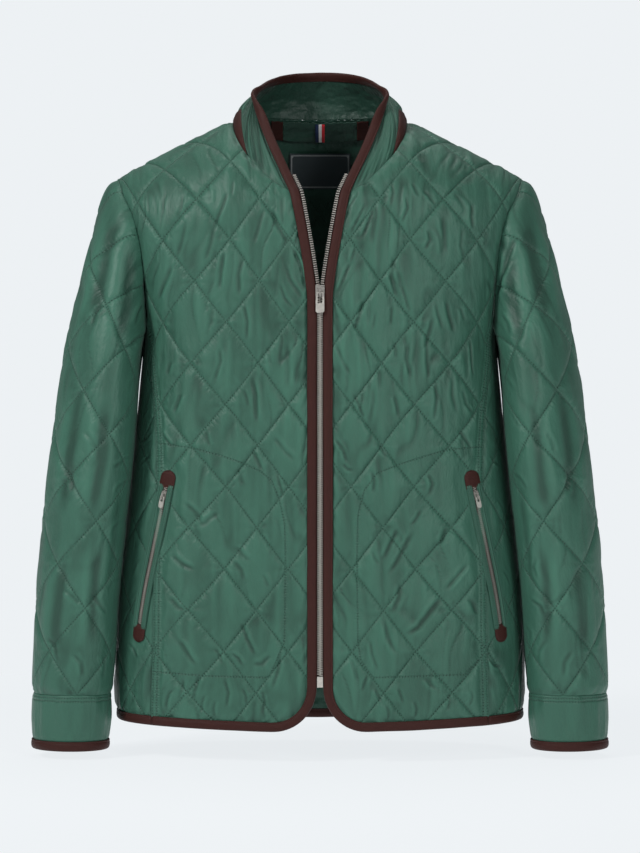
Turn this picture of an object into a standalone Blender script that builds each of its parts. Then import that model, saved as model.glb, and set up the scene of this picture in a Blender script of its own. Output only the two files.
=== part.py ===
"""Quilted jacket with a stand collar, zipped front and two slanted zip pockets.

The jacket is filled out as if worn and stands empty: neck, hem, cuffs and armholes are open.
X runs to the wearer's left, Y to the back, Z up. The origin lies midway between the two points
where the shoulder seams meet the collar.
"""
import math

import bpy
import bmesh
import numpy as np
from mathutils import Matrix, Vector
from mathutils.geometry import delaunay_2d_cdt

for old in list(bpy.data.objects):
    bpy.data.objects.remove(old, do_unlink=True)
JACKET = bpy.data.collections.new("quilted_jacket")
bpy.context.scene.collection.children.link(JACKET)
CUTTERS = bpy.data.collections.new("jacket_helpers")
bpy.context.scene.collection.children.link(CUTTERS)
CUTTERS.hide_render = True

MM = 0.001

# ---- torso ----
BODY_HALF_WIDTH = 236 * MM      # at the hem
BODY_HALF_DEPTH = 121 * MM
BODY_POWER = 2.6                # squareness of the horizontal section
PATTERN_BASE = -700 * MM        # height from which pattern lengths are counted
WALL = 2.2 * MM                 # cloth thickness at the quilting lines
SEAM_GAP = 0.3 * MM
SLIVER = 1e-9                   # pattern triangles smaller than this are dropped
NECK_HALF = 101 * MM            # centre to shoulder-neck point
SHOULDER_SLOPE = 0.5
SHOULDER_END = 233 * MM
BACK_NECK_RISE = 37 * MM

# height, half width, half depth
BODY_SHAPE = (
    (-705, 230, 121), (-675, 231.5, 121), (-640, 233, 121), (-582, 233.5, 120), (-536, 231.5, 119),
    (-490, 226.5, 118), (-444, 221, 118), (-398, 216, 118), (-352, 211, 118), (-306, 206.5, 119), (-270, 203, 120.5),
    (-245, 201, 121), (-205, 209, 122), (-170, 218, 122), (-120, 231, 122), (-66, 239, 122), (0, 239, 121),
    (60, 239, 121),
)
HEM_FRONT = -677 * MM           # lower edge of the cloth above the hem binding
HEM_SIDE = -671 * MM
HEM_BACK = -685 * MM

# ---- quilting ----
DIAMOND_WIDE = 71.5 * MM
DIAMOND_TALL = 91.5 * MM
DIAMOND_BASE = -643.5 * MM      # a crossing lies here on the centre line
PUFF = 3.6 * MM
# height and width of the quilting's cloth over the body pattern there
QUILT_SCALE = (
    (-705, 0.985), (-630, 0.997), (-535, 0.993), (-490, 0.972), (-440, 0.96), (-368, 0.935), (-320, 0.91),
    (-277, 0.90), (-240, 0.89), (-205, 0.935), (-187, 0.965), (-142, 1.025), (-95, 1.07), (-50, 1.09), (60, 1.10),
)
QUILT_SLACK = 14 * MM           # width that the quilting gives up where the front turns to the side
QUILT_TURN = (95 * MM, 205 * MM)
SLEEVE_DIAMOND_WIDE = 72 * MM
SLEEVE_DIAMOND_TALL = 98 * MM
SLEEVE_DIAMOND_BASE = 50 * MM
SLEEVE_SPAN = 272.7 * MM        # width of the sleeve's quilted cloth, once round
SLEEVE_TWIST = (0.15, 0.158)    # share of a turn to the first column of crossings: at the cuff, and more per metre

# ---- edges and bindings ----
BIND = 10 * MM
FRONT_EDGE = 13.5 * MM          # centre line to the cloth edge beside the binding
CORNER_RADIUS = 40 * MM
OPEN_FROM = -204 * MM           # the front edges part above this height
OPEN_TO = -88 * MM
OPEN_SPREAD = 19 * MM
OPEN_POWER = 1.2

# front armhole and back armhole: distance from the centre, height
ARMHOLE_FRONT = ((233, -66), (224, -84), (211, -110), (203, -140), (199.5, -170), (197.5, -205), (196, -236))
ARMHOLE_BACK = ((233, -66), (227, -86), (217, -112), (208, -142), (203, -172), (199, -205), (196, -236))
UNDERARM = -245 * MM
SIDE_TOP = (196 * MM, -232 * MM)    # where the side panel's front corner meets the armhole
# seam between front and side panel: distance from the centre, height
SIDE_SEAM = (
    (188.5, -705), (188, -674), (186, -578), (184, -480), (182, -400), (184, -345), (189, -290), (196, -236),
)

# front neck: distance, height; back neck: distance, depth
NECK_FRONT = ((101, 0), (96.5, -17), (86, -38), (71, -57), (53, -75), (33, -88))
NECK_BACK = ((0, 73), (40, 69), (74, 50), (93, 26), (101, 0))
# upper rim of the collar from the centre back to the front corner
COLLAR_RIM = (
    (0, 58, 57.5), (18, 56, 57), (34, 49, 55.5), (48, 38, 52.5), (58.5, 23, 48), (66, 6, 43), (71, -12, 37),
    (74, -30, 30), (75.5, -46, 23),
)
GUSSET_TALL = 27.5 * MM
GUSSET_SPAN = (0.38, 0.775)     # share of the half neck seam, counted from the centre back
GUSSET_LEAN = 1.35              # above 1 the gusset is tallest towards the front
GUSSET_ROUND = 0.7              # below 1 its ends rise steeply

# ---- sleeves ----
# outer point (x, z), inner point (x, z), half depth, outer y, inner y, of each ring from armhole to cuff edge
SLEEVE_RINGS = (
    (231, -66, 201.5, -245, 68, 0, 0), (239.5, -74, 203, -249, 69, -0.5, -5), (246, -86, 203.9, -254, 70, -1, -11),
    (252.5, -104, 204.6, -260, 71, -1.5, -18), (258.5, -127, 205, -268, 71.5, -2, -27),
    (266.5, -156, 205.3, -279, 72, -3, -38), (276.3, -194, 205.9, -294, 72, -4, -48),
    (286.7, -236, 206.9, -313, 71, -6, -55), (294.2, -284, 208.2, -338, 70, -10, -60),
    (300.8, -334, 210.6, -369, 68, -15, -62), (307, -385, 214.2, -405, 66, -20, -62),
    (312.2, -436, 218.7, -446, 63, -25, -61), (317.5, -490, 223.8, -494, 59, -29, -59),
    (321.3, -540, 228.2, -541, 55, -32, -57), (323.8, -595, 231.7, -594, 50, -35, -54),
    (325.7, -649, 236, -649, 46, -37, -51), (326.4, -680, 238, -680, 43.5, -38, -49),
    (325.7, -700, 240, -700, 42.5, -38, -49), (325.3, -713, 241.3, -713, 42, -38, -49),
)
CUFF_TOP = -649 * MM
CUFF_BOTTOM = -702 * MM
CUFF_EDGE = -713 * MM

# ---- pockets: upper and lower end of the zip line on the front, distance and height ----
POCKET_TOP = (170 * MM, -407 * MM)
POCKET_END = (203 * MM, -580 * MM)
POCKET_HALF = 9.3 * MM
POCKET_CHAIN = 3.2 * MM         # half width of the zip between the two welts
POCKET_FLAT = 12 * MM           # the quilting lies flat within this distance of the pocket line
TAB_LENGTH = 20 * MM
TAB_ROUND = 0.7                 # length of a tab's rounded end over its half width
LOW_TAB_SHARE = 0.85            # the lower tab is narrower than the upper one
WELT_RISE, WELT_THICK = 1.9 * MM, 1.6 * MM
CHAIN_RISE, CHAIN_THICK = 1.3 * MM, 1.0 * MM
TAB_RISE, TAB_THICK = 2.1 * MM, 1.8 * MM
COLLAR_WALL = 2.4 * MM
CUFF_WALL = 2.6 * MM
CUFF_BINDING_WALL = 3.6 * MM
CUFF_BINDING_PROUD = 0.5 * MM
SLIDER_HEIGHT = -198 * MM       # middle of the front slider

COLOURS = {
    "green": ((0.072, 0.163, 0.122, 1), 0.55, 0),
    "brown": ((0.060, 0.026, 0.022, 1), 0.7, 0),
    "metal": ((0.55, 0.54, 0.52, 1), 0.3, 1),
    "tape": ((0.03, 0.02, 0.018, 1), 0.8, 0),
    "navy": ((0.010, 0.014, 0.018, 1), 0.8, 0),
    "ribbon": ((0.35, 0.30, 0.32, 1), 0.8, 0),
}


def hermite(table, x):
    """Smooth curve through rows (x, value, value ...) with rising x."""
    rows = np.asarray(table, float)
    xs = rows[:, 0]
    ys = rows[:, 1:]
    x = min(max(x, xs[0]), xs[-1])
    i = int(min(max(np.searchsorted(xs, x) - 1, 0), len(xs) - 2))
    h = xs[i + 1] - xs[i]

    def slope(k):
        lo = max(k - 1, 0)
        hi = min(k + 1, len(xs) - 1)
        return (ys[hi] - ys[lo]) / (xs[hi] - xs[lo])

    t = (x - xs[i]) / h
    a = 2 * t ** 3 - 3 * t ** 2 + 1
    b = t ** 3 - 2 * t ** 2 + t
    c = -2 * t ** 3 + 3 * t ** 2
    d = t ** 3 - t ** 2
    return a * ys[i] + b * h * slope(i) + c * ys[i + 1] + d * h * slope(i + 1)


def resample(points, step, least=1):
    """Points spaced evenly by about step along a line, ends kept."""
    pts = np.asarray(points, float)
    gaps = np.linalg.norm(np.diff(pts, axis=0), axis=1)
    run = np.concatenate([[0], np.cumsum(gaps)])
    count = max(int(round(run[-1] / step)), least)
    marks = np.linspace(0, run[-1], count + 1)
    return np.stack([np.interp(marks, run, pts[:, k]) for k in range(pts.shape[1])], axis=1)


def smooth_line(points, dense=12):
    """Dense smooth line through points of any dimension, spaced by their own chord lengths."""
    pts = np.asarray(points, float)
    gaps = np.linalg.norm(np.diff(pts, axis=0), axis=1)
    run = np.concatenate([[0], np.cumsum(gaps)])
    table = np.column_stack([run, pts])
    marks = np.linspace(0, run[-1], dense * (len(pts) - 1) + 1)
    return np.array([hermite(table, m) for m in marks])


def ease(x):
    x = min(max(x, 0), 1)
    return x * x * (3 - 2 * x)


# ---------------- torso surface ----------------
def section_table():
    angle = np.linspace(0, math.pi / 2, 721)
    x = BODY_HALF_WIDTH * np.sin(angle) ** (2 / BODY_POWER)
    y = BODY_HALF_DEPTH * np.cos(angle) ** (2 / BODY_POWER)
    run = np.concatenate([[0], np.cumsum(np.hypot(np.diff(x), np.diff(y)))])
    return run, x, y


RUN, SECTION_X, SECTION_Y = section_table()
QUARTER = RUN[-1]
SHAPE = [(z * MM, w * MM / BODY_HALF_WIDTH, d * MM / BODY_HALF_DEPTH) for z, w, d in BODY_SHAPE]


def section(u):
    """Plan position on the reference section at pattern distance u from the centre front."""
    d = abs(u)
    back = d > QUARTER
    if back:
        d = 2 * QUARTER - d
    x = float(np.interp(d, RUN, SECTION_X)) * (1 if u >= 0 else -1)
    y = float(np.interp(d, RUN, SECTION_Y))
    return x, (y if back else -y)


def crest(x, back):
    """Height of the shoulder line at distance x from the centre."""
    d = abs(x)
    if d > NECK_HALF:
        return -SHOULDER_SLOPE * (d - NECK_HALF)
    if back:
        return BACK_NECK_RISE * (1 - (d / NECK_HALF) ** 3)
    return 0.0


def torso(u, v, back=False):
    x, y = section(u)
    if back:
        y = -y
    radius = max(abs(y), 1e-6)
    bend = crest(x, back) - radius
    rise = bend - PATTERN_BASE
    if v <= rise:
        z = PATTERN_BASE + v
    else:
        turn = (v - rise) / radius
        if turn < math.pi / 2:
            z = bend + radius * math.sin(turn)
            y *= math.cos(turn)
        else:
            z = bend + radius
            y *= (math.pi / 2 - turn)
    wide, deep = hermite(SHAPE, z)
    return Vector((x * wide, y * deep, z))


def torso_back(u, v):
    return torso(u, v, True)


def pattern_u(x, z):
    wide = hermite(SHAPE, z)[0]
    return float(np.interp(abs(x) / wide, SECTION_X, RUN)) * (1 if x >= 0 else -1)


def pattern_at(x, z, back=False):
    """Pattern position of the torso point seen at x, z."""
    u = pattern_u(x, z)
    sx, sy = section(u)
    radius = abs(sy)
    bend = crest(sx, back) - radius
    if z <= bend:
        return (u, z - PATTERN_BASE)
    turn = math.asin(min((z - bend) / radius, 1))
    return (u, bend - PATTERN_BASE + radius * turn)


def pattern_at_depth(x, y, back=True):
    """Pattern position of a shoulder point given in plan."""
    u = pattern_u(x, 0.0)
    sx, sy = section(u)
    radius = abs(sy)
    deep = hermite(SHAPE, 0.0)[1]
    turn = math.acos(min(max(abs(y) / deep / radius, 0), 1))
    return (u, crest(sx, back) - radius - PATTERN_BASE + radius * turn)


def hem_height(u, back=False):
    d = abs(u) / QUARTER
    if back:
        return HEM_SIDE + (HEM_BACK - HEM_SIDE) * ease(1 - d)
    if d <= 1:
        return HEM_SIDE + (HEM_FRONT - HEM_SIDE) * ease(1 - d)
    return HEM_SIDE + (HEM_BACK - HEM_SIDE) * ease(d - 1)


# ---------------- quilting relief ----------------
def pillow(u, v, wide, tall, base):
    p = u / wide + (v - base) / tall
    q = u / wide - (v - base) / tall
    return abs(math.sin(math.pi * p) * math.sin(math.pi * q)) ** 0.6


def nearest_on(points, u, v):
    """Distance from a pattern point to a line of points."""
    a = points[:-1]
    b = points[1:]
    ab = b - a
    ap = np.array([u, v]) - a
    t = np.clip((ap * ab).sum(1) / np.maximum((ab * ab).sum(1), 1e-12), 0, 1)
    return float(np.min(np.linalg.norm(ap - ab * t[:, None], axis=1)))


POCKET_LINE = np.array([pattern_at(*POCKET_TOP), pattern_at(*POCKET_END)])
QUILT_U = np.linspace(0, 2 * QUARTER, 421)
turned = np.clip((QUILT_U - QUILT_TURN[0]) / (QUILT_TURN[1] - QUILT_TURN[0]), 0, 1)
QUILT_RUN = QUILT_U - QUILT_SLACK * turned ** 2 * (3 - 2 * turned)


def quilt_scale(v):
    return float(hermite(QUILT_SCALE, (PATTERN_BASE + v) / MM)[0])


def to_quilt(loop):
    """Quilted cloth positions of body pattern points."""
    return np.array([(math.copysign(float(np.interp(abs(u), QUILT_U, QUILT_RUN)) * quilt_scale(v), u), v)
                     for u, v in loop])


def from_quilt(s, v):
    """Body pattern position of a quilted cloth point."""
    return math.copysign(float(np.interp(abs(s) / quilt_scale(v), QUILT_RUN, QUILT_U)), s)


def torso_cloth(s, v):
    return torso(from_quilt(s, v), v)


def back_cloth(s, v):
    return torso(from_quilt(s, v), v, True)


POCKET_CLOTH_LINE = to_quilt(POCKET_LINE)


def torso_relief(s, v, back=False):
    high = PUFF * pillow(s, v, DIAMOND_WIDE, DIAMOND_TALL, DIAMOND_BASE - PATTERN_BASE)
    if back:
        return high
    away = nearest_on(POCKET_CLOTH_LINE, abs(s), v)
    high *= ease((away - 13 * MM) / (16 * MM))
    # the side lies pressed under the arm
    side = ease((abs(abs(from_quilt(s, v)) - QUARTER) - 40 * MM) / (60 * MM))
    under = ease((v - 0.07) / 0.08)
    return high * (1 - 0.85 * under * (1 - side))


# ---------------- solids from flat patterns ----------------
def part_material(name, look):
    colour, rough, metal = COLOURS[look]
    mat = bpy.data.materials.new(name + "_material")
    mat.use_nodes = True
    shader = mat.node_tree.nodes["Principled BSDF"]
    shader.inputs["Base Color"].default_value = colour
    shader.inputs["Roughness"].default_value = rough
    shader.inputs["Metallic"].default_value = metal
    mat.diffuse_color = colour
    return mat


def add_object(name, verts, faces, look, origin=(0, 0, 0)):
    base = Vector(origin)
    mesh = bpy.data.meshes.new(name)
    mesh.from_pydata([tuple(Vector(p) - base) for p in verts], [], faces)
    mesh.validate()
    work = bmesh.new()
    work.from_mesh(mesh)
    bmesh.ops.triangulate(work, faces=work.faces)
    bmesh.ops.recalc_face_normals(work, faces=work.faces)
    if work.calc_volume(signed=True) < 0:
        bmesh.ops.reverse_faces(work, faces=work.faces)
    work.to_mesh(mesh)
    work.free()
    obj = bpy.data.objects.new(name, mesh)
    obj.location = base
    mesh.materials.append(part_material(name, look))
    JACKET.objects.link(obj)
    return obj


def inward(loop, distance):
    """Counter-clockwise pattern outline drawn in by a distance."""
    pts = np.asarray(loop, float)
    before = pts - np.roll(pts, 1, axis=0)
    after = np.roll(pts, -1, axis=0) - pts
    before /= np.linalg.norm(before, axis=1)[:, None]
    after /= np.linalg.norm(after, axis=1)[:, None]
    n0 = np.stack([-before[:, 1], before[:, 0]], 1)
    n1 = np.stack([-after[:, 1], after[:, 0]], 1)
    mid = n0 + n1
    mid /= np.maximum(np.linalg.norm(mid, axis=1)[:, None], 1e-9)
    reach = distance / np.maximum((mid * n0).sum(1), 0.5)
    return pts + mid * reach[:, None]


def inside(loop, u, v):
    hit = False
    j = len(loop) - 1
    for i in range(len(loop)):
        if (loop[i][1] > v) != (loop[j][1] > v):
            cross = (loop[j][0] - loop[i][0]) * (v - loop[i][1]) / (loop[j][1] - loop[i][1]) + loop[i][0]
            if u < cross:
                hit = not hit
        j = i
    return hit


def fill(loop, wide, tall, base_u, base_v, clear, creases, guide=None):
    """Triangles over a pattern outline with lattice points inside.

    A guide is a closed line of pattern points whose edges are kept.
    Returns pattern points, triangles and the output index of every outline point.
    """
    pts = [Vector((p[0], p[1])) for p in loop]
    rim = np.vstack([loop, loop[:1]])
    index = {}
    edges = []
    if guide is not None:
        kept = []
        for u, v in guide:
            if inside(loop, u, v) and nearest_on(rim, u, v) > 2.5 * MM:
                kept.append(len(pts))
                pts.append(Vector((u, v)))
            else:
                kept.append(None)
        edges += [(a, b) for a, b in zip(kept, kept[1:] + kept[:1]) if a is not None and b is not None]
        around = np.vstack([guide, guide[:1]])
    lo = np.min(loop, axis=0)
    hi = np.max(loop, axis=0)
    i0, i1 = math.floor((lo[0] - base_u) / wide), math.ceil((hi[0] - base_u) / wide)
    j0, j1 = math.floor((lo[1] - base_v) / tall), math.ceil((hi[1] - base_v) / tall)
    for i in range(i0, i1 + 1):
        for j in range(j0, j1 + 1):
            u = base_u + i * wide
            v = base_v + j * tall
            if guide is not None and nearest_on(around, u, v) < 5 * MM:
                continue
            if inside(loop, u, v) and nearest_on(rim, u, v) > clear:
                index[(i, j)] = len(pts)
                pts.append(Vector((u, v)))
    if creases:
        for (i, j), a in index.items():
            if (i + j) % 4 == 0 and (i - 1, j + 1) in index:
                edges.append((a, index[(i - 1, j + 1)]))
            if (i - j) % 4 == 0 and (i + 1, j + 1) in index:
                edges.append((a, index[(i + 1, j + 1)]))
    ring = [(k, (k + 1) % len(loop)) for k in range(len(loop))]
    out, _, tris, origin, _, _ = delaunay_2d_cdt(pts, ring + edges, [], 0, 1e-7, True)
    tris = [t for t in tris if abs((out[t[1]] - out[t[0]]).cross(out[t[2]] - out[t[0]])) > SLIVER
            and inside(loop, sum(out[k].x for k in t) / 3, sum(out[k].y for k in t) / 3)]
    where = {}
    for k, sources in enumerate(origin):
        for s in sources:
            if s < len(loop):
                where[s] = k
    return out, tris, [where[s] for s in range(len(loop))]


def surface_normal(at, u, v, flip):
    e = 1.0 * MM
    du = at(u + e, v) - at(u - e, v)
    dv = at(u, v + e) - at(u, v - e)
    n = du.cross(dv)
    if n.length < 1e-12:
        n = Vector((0, 0, 1))
    n.normalize()
    return -n if flip else n


def panel(name, loop, at, look, relief=None, cell=(18 * MM, 23 * MM), base=(0, 0), wall=WALL,
          flip=False, rim_turn=None, lift=0.0, gap=SEAM_GAP / 2, edge_fade=22 * MM, quilted=False, coarse=2,
          guide=None):
    """Closed cloth solid: quilted outer face, plain inner face, joined along the outline."""
    loop = inward(loop, gap)
    rim = np.vstack([loop, loop[:1]])
    count = len(loop)
    clear = min(cell) * 0.42
    out, tris, border = fill(loop, cell[0], cell[1], base[0], base[1], clear, quilted, guide)
    edge_at = set(border)
    verts = []
    for k, p in enumerate(out):
        n = surface_normal(at, p.x, p.y, flip)
        high = lift
        if relief and k not in edge_at:
            high += relief(p.x, p.y) * ease(nearest_on(rim, p.x, p.y) / edge_fade) ** 0.5
        verts.append(at(p.x, p.y) + n * high)
    faces = [tuple(t) for t in tris]
    inner, inner_tris, inner_border = fill(loop, cell[0] * coarse, cell[1] * coarse, base[0], base[1],
                                           min(cell) * coarse * 0.42, False)
    start = len(verts)
    turn_of = {inner_border[s]: s for s in range(count)}
    for k, p in enumerate(inner):
        n = surface_normal(at, p.x, p.y, flip)
        down = n
        if rim_turn and k in turn_of and turn_of[k] in rim_turn:
            down = rim_turn[turn_of[k]]
        verts.append(at(p.x, p.y) + n * lift - down * wall)
    faces += [tuple(start + i for i in reversed(t)) for t in inner_tris]
    for s in range(count):
        e = (s + 1) % count
        faces.append((border[s], start + inner_border[s], start + inner_border[e], border[e]))
    return add_object(name, verts, faces, look)


def sweep(name, frames, profile, look):
    """Solid drawn along frames (point, side, up); profile points are (side, up) distances."""
    verts = []
    faces = []
    size = len(profile)
    for point, side, up in frames:
        for a, b in profile:
            verts.append(point + side * a + up * b)
    for k in range(len(frames) - 1):
        for i in range(size):
            j = (i + 1) % size
            faces.append((k * size + i, k * size + j, (k + 1) * size + j, (k + 1) * size + i))
    faces.append(tuple(reversed(range(size))))
    last = (len(frames) - 1) * size
    faces.append(tuple(last + i for i in range(size)))
    return add_object(name, verts, faces, look)


def block(name, look, place, boxes, origin=(0, 0, 0)):
    """Union of boxes given as (low corner, high corner) in a local frame."""
    made = []
    for low, high in boxes:
        verts = [place @ Vector((x, y, z)) for x in (low[0], high[0]) for y in (low[1], high[1])
                 for z in (low[2], high[2])]
        faces = [(0, 1, 3, 2), (4, 6, 7, 5), (0, 4, 5, 1), (2, 3, 7, 6), (0, 2, 6, 4), (1, 5, 7, 3)]
        made.append((verts, faces))
    obj = add_object(name, made[0][0], made[0][1], look, origin)
    for k, (verts, faces) in enumerate(made[1:]):
        tool = add_object("%s_add_%d" % (name, k), verts, faces, look, origin)
        JACKET.objects.unlink(tool)
        CUTTERS.objects.link(tool)
        tool.hide_render = True
        tool.display_type = "WIRE"
        join = obj.modifiers.new("union_%d" % k, "BOOLEAN")
        join.operation = "UNION"
        join.solver = "EXACT"
        join.object = tool
    return obj


# ---------------- seam lines of the torso, left half ----------------
def crest_pattern(x, back=False):
    """Pattern position on the shoulder line."""
    sx = x
    for _ in range(6):
        wide = hermite(SHAPE, crest(sx, back))[0]
        sx = x / wide
    u = float(np.interp(sx, SECTION_X, RUN))
    radius = abs(section(u)[1])
    return (u, crest(sx, back) - radius - PATTERN_BASE + radius * math.pi / 2)


def to_pattern(rows, back=False):
    return [pattern_at(x * MM, z * MM, back) for x, z in rows]


def hem_line(u0, u1, back=False, step=20 * MM):
    us = np.linspace(u0, u1, max(int(round(abs(u1 - u0) / step)), 1) + 1)
    return np.array([(u, hem_height(u, back) - PATTERN_BASE) for u in us])


def open_shift(z):
    share = (z - OPEN_FROM) / (OPEN_TO - OPEN_FROM)
    return OPEN_SPREAD * min(max(share, 0), 1.2) ** OPEN_POWER


SEAM_STEP = 21 * MM
CURVE_STEP = 14 * MM

side_top = pattern_at(*SIDE_TOP)
side_line = smooth_line(to_pattern(SIDE_SEAM[:-1]) + [side_top])
side_foot_u = float(np.interp(HEM_SIDE - PATTERN_BASE, side_line[:, 1], side_line[:, 0]))
side_foot_v = hem_height(side_foot_u) - PATTERN_BASE
SIDE_RISE = resample([(side_foot_u, side_foot_v)] + [p for p in side_line if p[1] > side_foot_v + 5 * MM],
                     SEAM_STEP)
BACK_SIDE = SIDE_RISE.copy()
BACK_SIDE[0, 1] = hem_height(SIDE_RISE[0, 0], True) - PATTERN_BASE

shoulder_x = np.linspace(NECK_HALF, SHOULDER_END, 8)
SHOULDER_FRONT = np.array([crest_pattern(x) for x in shoulder_x])
SHOULDER_BACK = np.array([crest_pattern(x, True) for x in shoulder_x])
ARM_FRONT = resample(smooth_line([SHOULDER_FRONT[-1]] + to_pattern(ARMHOLE_FRONT[1:-1]) + [side_top]),
                     CURVE_STEP)
ARM_BACK = resample(smooth_line([SHOULDER_BACK[-1]] + to_pattern(ARMHOLE_BACK[1:-1], True) + [side_top]),
                    CURVE_STEP)
under_v = UNDERARM - PATTERN_BASE
ARM_UNDER = resample(smooth_line([side_top, (side_top[0] + 12 * MM, under_v + 6.5 * MM),
                                  (QUARTER - 14 * MM, under_v + 0.8 * MM), (QUARTER, under_v)]), CURVE_STEP)

neck_front = [SHOULDER_FRONT[0]] + to_pattern(NECK_FRONT[1:])
neck_back = [pattern_at_depth(x * MM, y * MM) for x, y in NECK_BACK[:-1]] + [SHOULDER_BACK[0]]
NECK_F = resample(smooth_line(neck_front), 12 * MM)
NECK_B = resample(smooth_line(neck_back), 12 * MM)


def front_edge_line():
    """Front edge from the neck down to the hem, with the rounded lower corner."""
    top = NECK_FRONT[-1][1] * MM
    straight_end = HEM_FRONT + CORNER_RADIUS
    zs = [top - k * 11 * MM for k in range(1, 11)]
    zs += list(np.linspace(OPEN_FROM - 2 * MM, straight_end, 18))
    pts = [pattern_at(FRONT_EDGE + open_shift(z), z) for z in zs]
    low = HEM_FRONT - PATTERN_BASE
    cu = pts[-1][0] + CORNER_RADIUS
    cv = pts[-1][1]
    for k in range(1, 7):
        a = math.pi / 2 * k / 6
        u = cu - CORNER_RADIUS * math.cos(a)
        v = cv - CORNER_RADIUS * math.sin(a)
        pts.append((u, v + (hem_height(u) - PATTERN_BASE - low) * (k / 6)))
    return np.array(pts)


FRONT_LINE = front_edge_line()


def front_outline():
    hem = hem_line(FRONT_LINE[-1][0], SIDE_RISE[0][0])
    return np.vstack([hem[:-1], SIDE_RISE[:-1], ARM_FRONT[::-1][:-1], SHOULDER_FRONT[::-1][:-1], NECK_F,
                      FRONT_LINE[:-1]])


def flip_u(loop):
    """Outline of the other half, still counter-clockwise."""
    out = np.array(loop)[::-1].copy()
    out[:, 0] *= -1
    return out


def back_outline():
    hem = hem_line(0, BACK_SIDE[0][0], True)
    half = np.vstack([hem[:-1], BACK_SIDE[:-1], ARM_BACK[::-1][:-1], SHOULDER_BACK[::-1][:-1], NECK_B[::-1]])
    other = flip_u(half)
    return np.vstack([half, other[1:-1]])


def side_outline():
    far = SIDE_RISE.copy()
    far[:, 0] = 2 * QUARTER - far[:, 0]
    far[0, 1] = BACK_SIDE[0, 1]
    hem = hem_line(SIDE_RISE[0][0], far[0][0])
    under = ARM_UNDER.copy()
    under_far = ARM_UNDER.copy()
    under_far[:, 0] = 2 * QUARTER - under_far[:, 0]
    return np.vstack([hem[:-1], far[:-1], under_far[:-1], under[::-1][:-1], SIDE_RISE[::-1][:-1]])


def mirror(at):
    def other(u, v):
        p = at(u, v)
        return Vector((-p.x, p.y, p.z))
    return other


# ---------------- sleeve surface, left ----------------
def arm_loop():
    """Armhole points with their angle: 0 at the shoulder, +pi under the arm by the front."""
    front = [torso(*p) for p in ARM_FRONT] + [torso(*p) for p in ARM_UNDER[1:]]
    back = [torso_back(*p) for p in ARM_BACK]
    back += [torso(2 * QUARTER - p[0], p[1]) for p in ARM_UNDER[1:]]
    rows = []
    for line, sign in ((front, 1), (back, -1)):
        run = 0
        marks = [0]
        for a, b in zip(line[:-1], line[1:]):
            run += (b - a).length
            marks.append(run)
        rows.append([(sign * math.pi * m / run, p) for m, p in zip(marks, line)])
    return rows[0], rows[1]


ARM_A, ARM_B = arm_loop()
LOOP_ROWS = [(a, p.x, p.y, p.z) for a, p in reversed(ARM_B)] + [(a, p.x, p.y, p.z) for a, p in ARM_A[1:]]
LOOP_ANGLE = np.array([r[0] for r in LOOP_ROWS])
LOOP_POS = np.array([r[1:] for r in LOOP_ROWS])
RING = np.array(SLEEVE_RINGS, float) * MM


def ring_keys():
    outer = np.hypot(np.diff(RING[:, 0]), np.diff(RING[:, 1]))
    inner = np.hypot(np.diff(RING[:, 2]), np.diff(RING[:, 3]))
    return np.concatenate([[0], np.cumsum((outer + inner) / 2)])


KEYS = ring_keys()
RING_TABLE = np.column_stack([KEYS, RING])
FREE_RUN = 0.11                 # length over which the armhole shape settles into the rings


def ring_point(angle, key):
    ox, oz, ix, iz, d, oy, iy = hermite(RING_TABLE, key)
    c = math.cos(angle)
    s = math.sin(angle)
    return np.array([(ox + ix) / 2 + (ox - ix) / 2 * c, (oy + iy) / 2 + (oy - iy) / 2 * c - d * s,
                     (oz + iz) / 2 + (oz - iz) / 2 * c])


def sleeve_point(angle, key):
    p = ring_point(angle, key)
    fade = 1 - ease(key / FREE_RUN)
    if fade > 0:
        target = np.array([np.interp(angle, LOOP_ANGLE, LOOP_POS[:, k]) for k in range(3)])
        target[0] += 1.2 * SEAM_GAP
        p = p + (target - ring_point(angle, 0)) * fade
    return p


KEY_CUFF = float(np.interp(-CUFF_TOP, -RING[:, 3], KEYS))
ANGLES = np.linspace(-math.pi, math.pi, 49)
MARKS = np.linspace(0, KEY_CUFF, 90)
GRID = np.array([[sleeve_point(a, k) for k in MARKS] for a in ANGLES])
STEPS = np.linalg.norm(np.diff(GRID, axis=1), axis=2)
RISE = np.concatenate([np.cumsum(STEPS[:, ::-1], axis=1)[:, ::-1], np.zeros((len(ANGLES), 1))], axis=1)


def rise_row(angle):
    """Height of each mark above the cuff, measured along the cloth at an angle."""
    place = (angle + math.pi) / (2 * math.pi) * (len(ANGLES) - 1)
    i = min(int(place), len(ANGLES) - 2)
    f = place - i
    return RISE[i] * (1 - f) + RISE[i + 1] * f


def twist(v):
    return SLEEVE_TWIST[0] + SLEEVE_TWIST[1] * v


def cloth_across(angle, v):
    return SLEEVE_SPAN * (angle / (2 * math.pi) - twist(v))


def sleeve(s, v):
    angle = min(max(2 * math.pi * (s / SLEEVE_SPAN + twist(v)), -math.pi), math.pi)
    key = float(np.interp(v, rise_row(angle)[::-1], MARKS[::-1]))
    return Vector(sleeve_point(angle, key))


def sleeve_outline():
    seam = rise_row(math.pi)
    heights = [float(np.interp(k, MARKS, seam)) for k in np.linspace(KEY_CUFF, 0, 20)]
    up = np.array([(cloth_across(math.pi, v), v) for v in heights])
    down = np.array([(cloth_across(-math.pi, v), v) for v in heights[::-1]])
    top = np.array([(cloth_across(a, rise_row(a)[0]), rise_row(a)[0]) for a in LOOP_ANGLE[::-1]])
    foot = np.array([(cloth_across(a, 0), 0) for a in np.linspace(-math.pi, math.pi, 17)])
    return np.vstack([foot[:-1], up[:-1], top[:-1], down[:-1]])


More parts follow.
